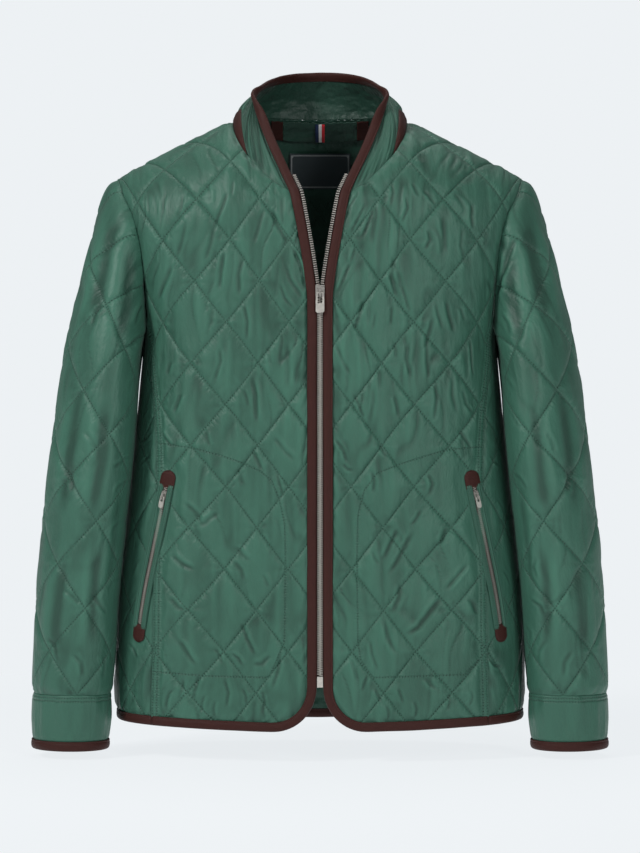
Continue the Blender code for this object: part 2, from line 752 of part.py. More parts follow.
def sleeve_relief(s, v):
    high = PUFF * pillow(s, v, SLEEVE_DIAMOND_WIDE, SLEEVE_DIAMOND_TALL, SLEEVE_DIAMOND_BASE)
    inner = ease((abs(s / SLEEVE_SPAN + twist(v)) - 0.28) / 0.16)
    return high * (1 - 0.85 * inner)


# ---------------- collar surface ----------------
NECK_POINTS = [torso_back(*p) for p in NECK_B] + [torso(*p) for p in NECK_F[1:]]
NECK_STEPS = [(b - a).length for a, b in zip(NECK_POINTS[:-1], NECK_POINTS[1:])]
NECK_RUN = np.concatenate([[0], np.cumsum(NECK_STEPS)])
NECK_LENGTH = float(NECK_RUN[-1])
HPS_SHARE = float(NECK_RUN[len(NECK_B) - 1]) / NECK_LENGTH
NECK_POS = np.array([tuple(p) for p in NECK_POINTS])
RIM_LINE = smooth_line([(x * MM, y * MM, z * MM) for x, y, z in COLLAR_RIM])
RIM_RUN = np.concatenate([[0], np.cumsum(np.linalg.norm(np.diff(RIM_LINE, axis=0), axis=1))])
COLLAR_TALL = 60 * MM
COLLAR_BULGE = 6.5 * MM
RIM_PAIRS = ((0, 0), (0.46, 0.70), (1, 1))


def collar_base(share):
    run = min(max(share, 0), 1) * NECK_LENGTH
    return np.array([np.interp(run, NECK_RUN, NECK_POS[:, k]) for k in range(3)])


def collar(a, h):
    """Collar surface; a runs along the neck seam from the centre back, h upwards."""
    share = abs(a) / NECK_LENGTH
    low = collar_base(share)
    run = float(hermite(RIM_PAIRS, min(share, 1))[0]) * RIM_RUN[-1]
    high = np.array([np.interp(run, RIM_RUN, RIM_LINE[:, k]) for k in range(3)])
    t = h / COLLAR_TALL
    p = low + (high - low) * t
    out = np.array([p[0], p[1] - 5 * MM, 0])
    size = np.linalg.norm(out)
    if size > 0:
        p = p + out / size * COLLAR_BULGE * math.sin(math.pi * min(max(t, 0), 1))
    return Vector((p[0] if a >= 0 else -p[0], p[1], p[2]))


def gusset_height(share):
    t = (share - GUSSET_SPAN[0]) / (GUSSET_SPAN[1] - GUSSET_SPAN[0])
    if t <= 0 or t >= 1:
        return 0.0
    return GUSSET_SHARE * math.sin(math.pi * t ** GUSSET_LEAN) ** GUSSET_ROUND


GUSSET_SHARE = GUSSET_TALL / (Vector(collar(HPS_SHARE * NECK_LENGTH, COLLAR_TALL))
                              - Vector(collar(HPS_SHARE * NECK_LENGTH, 0))).length * COLLAR_TALL
COLLAR_CORNER = (24 * MM, 9 * MM)


def collar_side():
    """Front edge of the left half from the neck seam over the corner to the centre back."""
    pts = [(NECK_LENGTH, h) for h in np.linspace(0, COLLAR_TALL - COLLAR_CORNER[1], 8)]
    for k in range(1, 6):
        w = math.pi / 2 * k / 5
        pts.append((NECK_LENGTH - COLLAR_CORNER[0] * (1 - math.cos(w)),
                    COLLAR_TALL - COLLAR_CORNER[1] * (1 - math.sin(w))))
    start = pts[-1][0]
    pts += [(a, COLLAR_TALL) for a in np.linspace(start, 0, 17)[1:]]
    return np.array(pts)


COLLAR_SIDE = collar_side()


def collar_outline():
    low = [(run, gusset_height(run / NECK_LENGTH)) for run in NECK_RUN]
    half = np.vstack([np.array(low)[:-1], COLLAR_SIDE])
    other = flip_u(half)
    return np.vstack([half, other[1:-1]])


def gusset_outline():
    low_run, high_run = (share * NECK_LENGTH for share in GUSSET_SPAN)
    first = [run for run in NECK_RUN if low_run - 1e-9 < run < high_run]
    low = [(run, 0) for run in first]
    high = [(run, gusset_height(run / NECK_LENGTH)) for run in first[1:-1]]
    return np.array(low + high[::-1])


# directions shared by pieces that meet at an angle, so that their thick edges stay apart
SHARED = []
for k, point in enumerate(NECK_POINTS):
    a = float(NECK_RUN[k])
    if k < len(NECK_B):
        n_body = surface_normal(torso_back, NECK_B[k][0], NECK_B[k][1], True)
    else:
        row = NECK_F[k - len(NECK_B) + 1]
        n_body = surface_normal(torso, row[0], row[1], False)
    n_collar = surface_normal(collar, a, 2 * MM, True)
    SHARED.append((point, (n_body + n_collar).normalized()))
for angle, pos in zip(LOOP_ANGLE, LOOP_POS):
    centre = Vector(sleeve_point(angle, 4 * MM))
    along = Vector(sleeve_point(angle, 8 * MM)) - Vector(sleeve_point(angle, 1 * MM))
    round_ = Vector(sleeve_point(angle + 0.05, 4 * MM)) - Vector(sleeve_point(angle - 0.05, 4 * MM))
    n_arm = round_.cross(along).normalized()
    if n_arm.dot(centre - Vector((0.235, 0, -0.16))) < 0:
        n_arm = -n_arm
    best = None
    for pts, at, flip in ((ARM_FRONT, torso, False), (ARM_BACK, torso_back, True)):
        for p in pts:
            if (at(*p) - Vector(pos)).length < 0.2 * MM:
                best = surface_normal(at, p[0], p[1] - 2 * MM, flip)
    if best is not None and best.dot(n_arm) > 0.3:
        SHARED.append((Vector(pos), (best + n_arm).normalized()))


# ---------------- frames along the cloth edges ----------------
def frame_line(rows, right=False):
    """Frames from rows (surface function, flip, u, v) along a cloth edge.

    Each frame holds the edge point, the direction away from the cloth and the outward normal.
    """
    points = [at(u, v) for at, _, u, v in rows]
    ups = [surface_normal(at, u, v, flip) for at, flip, u, v in rows]
    frames = []
    for k, p in enumerate(points):
        a = points[max(k - 1, 0)]
        b = points[min(k + 1, len(points) - 1)]
        t = (b - a).normalized()
        up = ups[k] * 2 + ups[max(k - 1, 0)] + ups[min(k + 1, len(points) - 1)]
        up = (up - t * up.dot(t)).normalized()
        side = t.cross(up) if right else up.cross(t)
        frames.append((p, side.normalized(), up))
    return frames


def reflect(frames):
    def turn(p):
        return Vector((-p.x, p.y, p.z))
    return [(turn(p), turn(s), turn(u)) for p, s, u in reversed(frames)]


def part_of(frames, low, high):
    """Frames between two run lengths, cut exactly."""
    out = []
    run = 0
    for (p, s, u), (q, s2, u2) in zip(frames[:-1], frames[1:]):
        step = (q - p).length
        for mark in (low, high):
            if run <= mark < run + step:
                f = (mark - run) / step
                out.append((mark, p.lerp(q, f), s.lerp(s2, f).normalized(), u.lerp(u2, f).normalized()))
        run += step
        if low < run < high:
            out.append((run, q, s2, u2))
    out.sort(key=lambda r: r[0])
    return [r[1:] for r in out]


def length_of(frames):
    return sum((b[0] - a[0]).length for a, b in zip(frames[:-1], frames[1:]))


front_hem = hem_line(SIDE_RISE[0][0], FRONT_LINE[-1][0], step=24 * MM)
edge_rows = [(torso, False, u, v) for u, v in front_hem[:-1]]
edge_rows += [(torso, False, u, v) for u, v in FRONT_LINE[::-1]]
edge_rows += [(torso, False, NECK_F[-1][0], NECK_F[-1][1])]
edge_rows += [(collar, True, a, h) for a, h in COLLAR_SIDE[1:]]
HALF_EDGE = frame_line(edge_rows)
CENTRE_RIM = HALF_EDGE[-1]
HALF_EDGE[-1] = (CENTRE_RIM[0], Vector((0, CENTRE_RIM[1].y, CENTRE_RIM[1].z)).normalized(),
                 Vector((0, CENTRE_RIM[2].y, CENTRE_RIM[2].z)).normalized())

side_hem = hem_line(SIDE_RISE[0][0], 2 * QUARTER - SIDE_RISE[0][0], step=24 * MM)
back_hem = hem_line(SIDE_RISE[0][0], 0, True, step=24 * MM)
hem_rows = [(torso, False, u, v) for u, v in side_hem[:-1]] + [(torso_back, True, u, v) for u, v in back_hem]
HALF_HEM = frame_line(hem_rows, right=True)
HALF_HEM[0] = HALF_EDGE[0]
SHARED += [(p, up) for p, _, up in HALF_EDGE + HALF_HEM]


def shared_turns(loop, at, reach=1.0 * MM):
    turns = {}
    for s, p in enumerate(loop):
        point = at(p[0], p[1])
        for other, way in SHARED:
            for sign in (1, -1):
                if (point - Vector((sign * other.x, other.y, other.z))).length < reach:
                    turns[s] = Vector((sign * way.x, way.y, way.z))
    return turns


# ---------------- body panels ----------------
GRID_BASE = (0, DIAMOND_BASE - PATTERN_BASE)
CELL = (DIAMOND_WIDE / 4, DIAMOND_TALL / 4)
FRONT = to_quilt(front_outline())
SIDE = to_quilt(side_outline())
BACK = to_quilt(back_outline())


def both(name, loop, at, look, **options):
    """Left piece and its mirror image."""
    turns = shared_turns(loop, at)
    panel(name + "_left", loop, at, look, rim_turn=turns, **options)
    twin = {s: Vector((-t.x, t.y, t.z)) for s, t in turns.items()}
    options["flip"] = not options.get("flip", False)
    panel(name + "_right", loop, mirror(at), look, rim_turn=twin, **options)


panel("back", BACK, back_cloth, "green", relief=lambda s, v: torso_relief(s, v, True), cell=CELL,
      base=GRID_BASE, flip=True, quilted=True, rim_turn=shared_turns(BACK, back_cloth), coarse=1.5)
top_uv, end_uv = Vector(POCKET_LINE[0]), Vector(POCKET_LINE[1])
POCKET_LONG = (end_uv - top_uv).length
DOWN = (end_uv - top_uv).normalized()
ACROSS = Vector((-DOWN.y, DOWN.x))      # towards the side of the body


def pocket_uv(along, across):
    p = top_uv + DOWN * along + ACROSS * across
    return (p.x, p.y)


flat_marks = np.linspace(-POCKET_FLAT, POCKET_LONG + POCKET_FLAT, 10)
FLAT_ZONE = np.array([pocket_uv(a, POCKET_FLAT) for a in flat_marks]
                     + [pocket_uv(a, -POCKET_FLAT) for a in flat_marks[::-1]])
QUILTED = dict(relief=torso_relief, cell=CELL, base=GRID_BASE, quilted=True, guide=to_quilt(FLAT_ZONE))
both("front", FRONT, torso_cloth, "green", **QUILTED)
both("side", SIDE, torso_cloth, "green", **QUILTED)
both("sleeve", sleeve_outline(), sleeve, "green", relief=sleeve_relief,
     cell=(SLEEVE_DIAMOND_WIDE / 4, SLEEVE_DIAMOND_TALL / 4), base=(0, SLEEVE_DIAMOND_BASE), flip=True, quilted=True)
COLLAR = collar_outline()
panel("collar", COLLAR, collar, "green", cell=(24 * MM, 20 * MM), flip=True,
      rim_turn=shared_turns(COLLAR, collar), coarse=1, wall=COLLAR_WALL)
both("neck_gusset", gusset_outline(), collar, "brown", cell=(14 * MM, 8 * MM), flip=True, coarse=1,
     wall=COLLAR_WALL)


# ---------------- bound edges ----------------
cut = part_of(HALF_EDGE, SEAM_GAP / 2, length_of(HALF_EDGE) + 1)
WHOLE_EDGE = cut + reflect(HALF_EDGE)[1:-1] + [reflect(cut)[-1]]
BINDING = (
    (SEAM_GAP, -2.4 * MM), (SEAM_GAP, 1.2 * MM), (7.5 * MM, 1.7 * MM), (BIND, 0.4 * MM),
    (BIND, -1.4 * MM), (7.5 * MM, -2.5 * MM),
)
sweep("edge_binding", WHOLE_EDGE, BINDING, "brown")

cut = part_of(HALF_HEM, SEAM_GAP / 2, length_of(HALF_HEM) + 1)
sweep("hem_binding", cut + reflect(HALF_HEM)[1:-1] + [reflect(cut)[-1]], BINDING, "brown")


# ---------------- front zip ----------------
def run_at_height(frames, z):
    run = 0
    best = 0
    for (p, _, _), (q, _, _) in zip(frames[:-1], frames[1:]):
        step = (q - p).length
        if p.z <= z < q.z:
            best = run + step * (z - p.z) / (q.z - p.z)
        run += step
    return best


ZIP_FOOT = HEM_FRONT + CORNER_RADIUS
ZIP_TOP = -70 * MM
ZIP_BOX_TALL = 12 * MM
TEETH = ((BIND + 0.3 * MM, -2.2 * MM), (BIND + 0.3 * MM, 0.6 * MM), (FRONT_EDGE - 0.15 * MM, 0.6 * MM),
         (FRONT_EDGE - 0.15 * MM, -2.2 * MM))
TAPE_OUT = BIND + 2.3 * MM
TAPE = ((1 * MM, -3.6 * MM), (1 * MM, -2.85 * MM), (TAPE_OUT, -2.85 * MM), (TAPE_OUT, -3.6 * MM))
zip_end = run_at_height(HALF_EDGE, ZIP_TOP)
teeth_frames = part_of(HALF_EDGE, run_at_height(HALF_EDGE, ZIP_FOOT + ZIP_BOX_TALL + 0.4 * MM), zip_end)
tape_frames = part_of(HALF_EDGE, run_at_height(HALF_EDGE, ZIP_FOOT + 0.5 * MM), zip_end)
for side_name, change in (("left", lambda f: f), ("right", reflect)):
    sweep("zip_teeth_" + side_name, change(teeth_frames), TEETH, "metal")
    sweep("zip_tape_" + side_name, change(tape_frames), TAPE, "tape")

front_y = torso(0, SLIDER_HEIGHT - PATTERN_BASE).y


def slider_boxes(y_low):
    return [((-5 * MM, 1.9 * MM, -6.5 * MM), (5 * MM, 3.0 * MM, 6.5 * MM)),
            ((-5 * MM, y_low, -6.5 * MM), (5 * MM, y_low + 1.1 * MM, 6.5 * MM)),
            ((-0.7 * MM, y_low + 0.5 * MM, 4.6 * MM), (0.7 * MM, 2.5 * MM, 6.3 * MM))]


ARCH = [((-1.1 * MM, 2.4 * MM, -5 * MM), (1.1 * MM, 6.2 * MM, -4 * MM)),
        ((-1.1 * MM, 2.4 * MM, 1.5 * MM), (1.1 * MM, 6.2 * MM, 2.5 * MM)),
        ((-1.1 * MM, 5.2 * MM, -4.6 * MM), (1.1 * MM, 6.2 * MM, 2.1 * MM))]
PULL_AXIS = Vector((0, 4.1 * MM, -2.2 * MM))
BAR = 0.75 * MM                 # radius of a pull's top bar
ARM_WIDE = 1.2 * MM             # arms beside the slot of a pull
ARM_FOOT = -3.2 * MM            # below it the arms widen
SHOULDER = -5.3 * MM            # below it a pull has its full width


def outward_frame(origin, out, along):
    """Local frame with Y outward, Z along the zip and X across it."""
    y = out.normalized()
    z = (along - y * along.dot(y)).normalized()
    x = y.cross(z)
    place = Matrix((x, y, z)).transposed().to_4x4()
    place.translation = origin
    return place


def zip_pull(name, place, wide, drop, slot_half, slot_low):
    """Flat pull with a slot, hung by its round top bar; the object origin lies on the bar's axis."""
    arm_half = slot_half + ARM_WIDE
    edge = wide / 2
    corner = 1.5 * MM
    line = [(-arm_half, 0), (-arm_half, ARM_FOOT), (-edge, SHOULDER), (-edge, slot_low), (-edge, corner - drop),
            (corner - edge, -drop), (edge - corner, -drop), (edge, corner - drop), (edge, slot_low),
            (edge, SHOULDER), (arm_half, ARM_FOOT), (arm_half, 0)]
    slot = [(-slot_half, 0), (-slot_half, ARM_FOOT), (-slot_half, SHOULDER)]
    slot += [(slot_half * share, slot_low) for share in (-1, -0.6, -0.2, 0.2, 0.6, 1)]
    slot += [(slot_half, SHOULDER), (slot_half, ARM_FOOT), (slot_half, 0)]
    verts = []
    faces = []
    # side arms and plate as one flat ring: outer line and slot line, both sides
    half = 0.6 * MM
    count = len(line)
    for y in (-half, half):
        verts += [(x, y, z) for x, z in line]
        verts += [(x, y, z) for x, z in slot]
    shift = 2 * count
    for k in range(count - 1):
        faces.append((k, k + 1, count + k + 1, count + k))
        faces.append((shift + k, shift + count + k, shift + count + k + 1, shift + k + 1))
        faces.append((k, shift + k, shift + k + 1, k + 1))
        faces.append((count + k, count + k + 1, shift + count + k + 1, shift + count + k))
    for k in (0, count - 1):
        faces.append((k, count + k, shift + count + k, shift + k))
    origin = place @ PULL_AXIS
    verts = [place @ (PULL_AXIS + Vector(p)) for p in verts]
    obj = add_object(name, verts, faces, "metal", origin)
    sides = 10
    turns = [2 * math.pi * k / sides for k in range(sides)]
    ring = [(BAR * math.cos(a), BAR * math.sin(a)) for a in turns]
    bar = [place @ (PULL_AXIS + Vector((x, a, b))) for x in (-arm_half, arm_half) for a, b in ring]
    bar_faces = [tuple(range(sides)), tuple(reversed(range(sides, 2 * sides)))]
    bar_faces += [(k, (k + 1) % sides, sides + (k + 1) % sides, sides + k) for k in range(sides)]
    tool = add_object(name + "_bar", bar, bar_faces, "metal", origin)
    JACKET.objects.unlink(tool)
    CUTTERS.objects.link(tool)
    tool.hide_render = True
    tool.display_type = "WIRE"
    join = obj.modifiers.new("bar", "BOOLEAN")
    join.operation = "UNION"
    join.solver = "EXACT"
    join.object = tool
    return obj


front_place = outward_frame(Vector((0, front_y, SLIDER_HEIGHT)), Vector((0, -1, 0)), Vector((0, 0, 1)))
block("zip_slider", "metal", front_place, slider_boxes(-5.2 * MM) + ARCH)
zip_pull("zip_pull", front_place, 9.5 * MM, 22 * MM, 2.6 * MM, -11.5 * MM)
foot_place = outward_frame(Vector((0, torso(0, ZIP_FOOT - PATTERN_BASE).y, ZIP_FOOT)), Vector((0, -1, 0)),
                           Vector((0, 0, 1)))
zip_box = ((-3.2 * MM, -2.2 * MM, 0.2 * MM), (3.2 * MM, 1.2 * MM, ZIP_BOX_TALL))
block("zip_box", "metal", foot_place, [zip_box])

# ---------------- cuffs ----------------
CUFF_SIDES = 24


def tube(name, low_key, high_key, rows, wall, look, grow=0.0):
    def outer(angle, key):
        return Vector(sleeve_point(angle, key))
    verts = []
    faces = []
    keys = np.linspace(high_key, low_key, rows + 1)
    for level in (0, 1):
        for key in keys:
            for k in range(CUFF_SIDES):
                a = 2 * math.pi * k / CUFF_SIDES - math.pi
                p = outer(a, key)
                round_ = outer(a + 0.02, key) - outer(a - 0.02, key)
                along = outer(a, key + 1 * MM) - outer(a, key - 1 * MM)
                n = round_.cross(along).normalized()
                middle = sum((outer(a + math.pi * m / 2, key) for m in range(4)), Vector()) / 4
                if n.dot(p - middle) < 0:
                    n = -n
                verts.append(p + n * (grow - wall * level))
    count = CUFF_SIDES
    shift = (rows + 1) * count
    for j in range(rows):
        for k in range(count):
            m = (k + 1) % count
            faces.append((j * count + k, j * count + m, (j + 1) * count + m, (j + 1) * count + k))
            faces.append((shift + j * count + k, shift + (j + 1) * count + k, shift + (j + 1) * count + m,
                          shift + j * count + m))
    for k in range(count):
        m = (k + 1) % count
        faces.append((k, shift + k, shift + m, m))
        top = rows * count
        faces.append((top + k, top + m, shift + top + m, shift + top + k))
    add_object(name + "_left", verts, faces, look)
    add_object(name + "_right", [(-v[0], v[1], v[2]) for v in verts], faces, look)


def key_at(z):
    return float(np.interp(-z, -RING[:, 3], KEYS))


tube("cuff", key_at(CUFF_TOP) + SEAM_GAP, key_at(CUFF_BOTTOM), 2, CUFF_WALL, "green")
tube("cuff_binding", key_at(CUFF_BOTTOM) + SEAM_GAP, key_at(CUFF_EDGE), 1, CUFF_BINDING_WALL, "brown",
     CUFF_BINDING_PROUD)

# ---------------- pockets ----------------
def pocket_strip(a0, a1, c0, c1, step=22 * MM):
    """Counter-clockwise pattern rectangle along the pocket."""
    marks = np.linspace(a0, a1, max(int(round(abs(a1 - a0) / step)), 1) + 1)
    near = [pocket_uv(a, c1) for a in marks]
    far = [pocket_uv(a, c0) for a in marks]
    loop = np.array(near + far[::-1])
    size = sum(loop[i - 1][0] * loop[i][1] - loop[i][0] * loop[i - 1][1] for i in range(len(loop)))
    return loop if size > 0 else loop[::-1]


def tab_outline(a0, a1, half):
    """Tab across the pocket from a0 with a rounded end at a1; half is negative where a1 lies above a0."""
    bend = a1 - half * TAB_ROUND
    pts = [pocket_uv(a0, -half), pocket_uv(a0, half), pocket_uv(bend, half)]
    pts += [pocket_uv(bend + half * TAB_ROUND * math.sin(w), half * math.cos(w))
            for w in np.linspace(math.pi / 6, math.pi * 5 / 6, 5)]
    pts.append(pocket_uv(bend, -half))
    loop = np.array(pts)
    size = sum(loop[i - 1][0] * loop[i][1] - loop[i][0] * loop[i - 1][1] for i in range(len(loop)))
    return loop if size > 0 else loop[::-1]


TAB = dict(cell=(9 * MM, 9 * MM), coarse=1, lift=TAB_RISE, wall=TAB_THICK)
STRIP = dict(cell=(22 * MM, 22 * MM), coarse=1, lift=WELT_RISE, wall=WELT_THICK)
half_tab = TAB_LENGTH / 2
both("pocket_welt_front", pocket_strip(half_tab, POCKET_LONG - half_tab, -POCKET_HALF, -POCKET_CHAIN), torso,
     "green", **STRIP)
both("pocket_welt_back", pocket_strip(half_tab, POCKET_LONG - half_tab, POCKET_CHAIN, POCKET_HALF), torso,
     "green", **STRIP)
both("pocket_zip", pocket_strip(half_tab, POCKET_LONG - half_tab, -POCKET_CHAIN, POCKET_CHAIN), torso,
     "metal", cell=(22 * MM, 22 * MM), coarse=1, lift=CHAIN_RISE, wall=CHAIN_THICK)
both("pocket_tab_top", tab_outline(half_tab, -half_tab, -POCKET_HALF), torso, "brown", **TAB)
low_tab = tab_outline(POCKET_LONG - half_tab, POCKET_LONG + half_tab, POCKET_HALF * LOW_TAB_SHARE)
both("pocket_tab_end", low_tab, torso, "brown", **TAB)

slide_uv = pocket_uv(half_tab + 8 * MM, 0)
slide_point = torso(*slide_uv)
slide_out = surface_normal(torso, slide_uv[0], slide_uv[1], False)
slide_up = torso(*pocket_uv(half_tab, 0)) - torso(*pocket_uv(half_tab + 16 * MM, 0))
for side_name, sign in (("left", 1), ("right", -1)):
    def turned(p):
        return Vector((sign * p.x, p.y, p.z))
    place = outward_frame(turned(slide_point), turned(slide_out), turned(slide_up))
    block("pocket_slider_" + side_name, "metal", place,
          [((-2.9 * MM, 1.65 * MM, -5.6 * MM), (2.9 * MM, 3.0 * MM, 4.5 * MM))] + ARCH)
    zip_pull("pocket_pull_" + side_name, place, 5.8 * MM, 12.5 * MM, 1.5 * MM, SHOULDER)

# ---------------- inside the back neck ----------------
FACING_TALL = 26 * MM
FACING_HALF = 44 * MM
FACING_ENDS = 58 * MM
FACING_DROP = 6 * MM            # below the neck seam
LINING_LIFT = -4.2 * MM         # the inner pieces lie inside the back
LINING_WALL = 0.9 * MM
LABEL_HALF, LABEL_TALL, LABEL_WALL = 36 * MM, 45 * MM, 0.8 * MM
LABEL_DEPTH = 104 * MM          # distance behind the origin of the label's top edge
LOOP_STAND, LOOP_BOW = 5.5 * MM, 3 * MM


def under_neck(u0, u1, count):
    """Points just below the back neck seam."""
    us = np.linspace(u0, u1, count)
    return [(u, float(np.interp(u, NECK_B[:, 0], NECK_B[:, 1])) - FACING_DROP) for u in us]


def inner_strip(pts_low, pts_high):
    half = np.array(list(pts_low) + list(pts_high))
    other = flip_u(half)
    return np.vstack([half, other[1:-1]])


neck_low = under_neck(0, FACING_HALF, 5)
end_top = under_neck(FACING_HALF, FACING_ENDS, 2)
LINING = dict(flip=True, coarse=1, lift=LINING_LIFT)
facing = inner_strip([(u, v - FACING_TALL) for u, v in neck_low], neck_low[::-1])
panel("neck_facing", facing, torso_back, "green", cell=(22 * MM, 14 * MM), wall=LINING_WALL,
      **LINING)
both("facing_end", np.array([(u, v - FACING_TALL) for u, v in end_top] + end_top[::-1]), torso_back, "brown",
     wall=LINING_WALL, cell=(14 * MM, 14 * MM), **LINING)
label_top = pattern_at_depth(0, LABEL_DEPTH)[1]
label_low = label_top - LABEL_TALL
label_middle = label_top - LABEL_TALL / 2
label = np.array([
    (-LABEL_HALF, label_low), (0, label_low), (LABEL_HALF, label_low), (LABEL_HALF, label_middle),
    (LABEL_HALF, label_top), (0, label_top), (-LABEL_HALF, label_top), (-LABEL_HALF, label_middle),
])
panel("neck_label", label, torso_back, "navy", wall=LABEL_WALL, cell=(24 * MM, 15 * MM), **LINING)
loop_marks = np.linspace(neck_low[0][1] - 0.5 * MM, neck_low[0][1] - FACING_TALL + 0.5 * MM, 8)
loop_frames = []
for k, v in enumerate(loop_marks):
    n = surface_normal(torso_back, 0, v, True)
    stand = LOOP_STAND + LOOP_BOW * math.sin(math.pi * k / (len(loop_marks) - 1))
    loop_frames.append((torso_back(0, v) - n * stand, Vector((1, 0, 0)), n))
LOOP_HALF, LOOP_THICK = 5.5 * MM, 0.9 * MM
LOOP_BAND = ((-LOOP_HALF, -LOOP_THICK), (-LOOP_HALF, 0), (LOOP_HALF, 0), (LOOP_HALF, -LOOP_THICK))
sweep("hanger_loop", loop_frames, LOOP_BAND, "ribbon")
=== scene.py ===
"""Looks for the quilted jacket: fine quilted cloth, bound edges, metal zips, stitching, camera and light."""

import math

import bpy
import bmesh
import numpy as np
from mathutils import Matrix, Vector
from mathutils.geometry import delaunay_2d_cdt


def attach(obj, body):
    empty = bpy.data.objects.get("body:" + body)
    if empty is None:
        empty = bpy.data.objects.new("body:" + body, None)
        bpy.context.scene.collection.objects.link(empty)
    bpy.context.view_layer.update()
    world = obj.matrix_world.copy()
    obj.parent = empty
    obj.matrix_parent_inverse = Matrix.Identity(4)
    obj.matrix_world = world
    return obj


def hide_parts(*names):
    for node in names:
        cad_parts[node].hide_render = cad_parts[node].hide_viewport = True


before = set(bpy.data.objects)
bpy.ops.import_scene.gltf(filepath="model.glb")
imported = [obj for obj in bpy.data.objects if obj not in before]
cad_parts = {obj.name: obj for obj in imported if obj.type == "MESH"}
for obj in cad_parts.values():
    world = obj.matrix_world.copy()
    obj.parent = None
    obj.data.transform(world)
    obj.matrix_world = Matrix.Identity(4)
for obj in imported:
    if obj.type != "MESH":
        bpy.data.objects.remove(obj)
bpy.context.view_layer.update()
MM = 0.001

# ---- sizes shared with the solids ----
BODY_HALF_WIDTH = 236 * MM
BODY_HALF_DEPTH = 121 * MM
BODY_POWER = 2.6
PATTERN_BASE = -700 * MM
WALL = 2.2 * MM
NECK_HALF = 101 * MM
SHOULDER_SLOPE = 0.5
SHOULDER_END = 233 * MM
BACK_NECK_RISE = 37 * MM
BODY_SHAPE = (
    (-705, 230, 121), (-675, 231.5, 121), (-640, 233, 121), (-582, 233.5, 120), (-536, 231.5, 119),
    (-490, 226.5, 118), (-444, 221, 118), (-398, 216, 118), (-352, 211, 118), (-306, 206.5, 119), (-270, 203, 120.5),
    (-245, 201, 121), (-205, 209, 122), (-170, 218, 122), (-120, 231, 122), (-66, 239, 122), (0, 239, 121),
    (60, 239, 121),
)
HEM_FRONT = -677 * MM
HEM_SIDE = -671 * MM
HEM_BACK = -685 * MM
DIAMOND_WIDE = 71.5 * MM
DIAMOND_TALL = 91.5 * MM
DIAMOND_BASE = -643.5 * MM
QUILT_SCALE = (
    (-705, 0.985), (-630, 0.997), (-535, 0.993), (-490, 0.972), (-440, 0.96), (-368, 0.935), (-320, 0.91),
    (-277, 0.90), (-240, 0.89), (-205, 0.935), (-187, 0.965), (-142, 1.025), (-95, 1.07), (-50, 1.09), (60, 1.10),
)
QUILT_SLACK = 14 * MM
QUILT_TURN = (95 * MM, 205 * MM)
SLEEVE_DIAMOND_WIDE = 72 * MM
SLEEVE_DIAMOND_TALL = 98 * MM
SLEEVE_DIAMOND_BASE = 50 * MM
SLEEVE_SPAN = 272.7 * MM
SLEEVE_TWIST = (0.15, 0.158)
FRONT_EDGE = 13.5 * MM
CORNER_RADIUS = 40 * MM
OPEN_FROM = -204 * MM
OPEN_TO = -88 * MM
OPEN_SPREAD = 19 * MM
OPEN_POWER = 1.2
ARMHOLE_FRONT = ((233, -66), (224, -84), (211, -110), (203, -140), (199.5, -170), (197.5, -205), (196, -236))
ARMHOLE_BACK = ((233, -66), (227, -86), (217, -112), (208, -142), (203, -172), (199, -205), (196, -236))
UNDERARM = -245 * MM
SIDE_SEAM = ((188.5, -705), (188, -674), (186, -578), (184, -480), (182, -400), (184, -345), (189, -290), (196, -236))
NECK_FRONT = ((101, 0), (96.5, -17), (86, -38), (71, -57), (53, -75), (33, -88))
NECK_BACK = ((0, 73), (40, 69), (74, 50), (93, 26), (101, 0))
COLLAR_RIM = (
    (0, 58, 57.5), (18, 56, 57), (34, 49, 55.5), (48, 38, 52.5), (58.5, 23, 48), (66, 6, 43), (71, -12, 37),
    (74, -30, 30), (75.5, -46, 23),
)
COLLAR_TALL = 60 * MM
COLLAR_BULGE = 6.5 * MM
COLLAR_CORNER = (24 * MM, 9 * MM)
RIM_PAIRS = ((0, 0), (0.46, 0.70), (1, 1))
GUSSET_TALL = 27.5 * MM
GUSSET_SPAN = (0.38, 0.775)
GUSSET_LEAN = 1.35
GUSSET_ROUND = 0.7
SLEEVE_RINGS = (
    (231, -66, 201.5, -245, 68, 0, 0), (239.5, -74, 203, -249, 69, -0.5, -5), (246, -86, 203.9, -254, 70, -1, -11),
    (252.5, -104, 204.6, -260, 71, -1.5, -18), (258.5, -127, 205, -268, 71.5, -2, -27),
    (266.5, -156, 205.3, -279, 72, -3, -38), (276.3, -194, 205.9, -294, 72, -4, -48),
    (286.7, -236, 206.9, -313, 71, -6, -55), (294.2, -284, 208.2, -338, 70, -10, -60),
    (300.8, -334, 210.6, -369, 68, -15, -62), (307, -385, 214.2, -405, 66, -20, -62),
    (312.2, -436, 218.7, -446, 63, -25, -61), (317.5, -490, 223.8, -494, 59, -29, -59),
    (321.3, -540, 228.2, -541, 55, -32, -57), (323.8, -595, 231.7, -594, 50, -35, -54),
    (325.7, -649, 236, -649, 46, -37, -51), (326.4, -680, 238, -680, 43.5, -38, -49),
    (325.7, -700, 240, -700, 42.5, -38, -49), (325.3, -713, 241.3, -713, 42, -38, -49),
)
CUFF_TOP = -649 * MM
CUFF_BOTTOM = -702 * MM
FREE_RUN = 0.11
POCKET_TOP = (170 * MM, -407 * MM)
POCKET_END = (203 * MM, -580 * MM)
POCKET_HALF = 9.3 * MM
TAB_LENGTH = 20 * MM

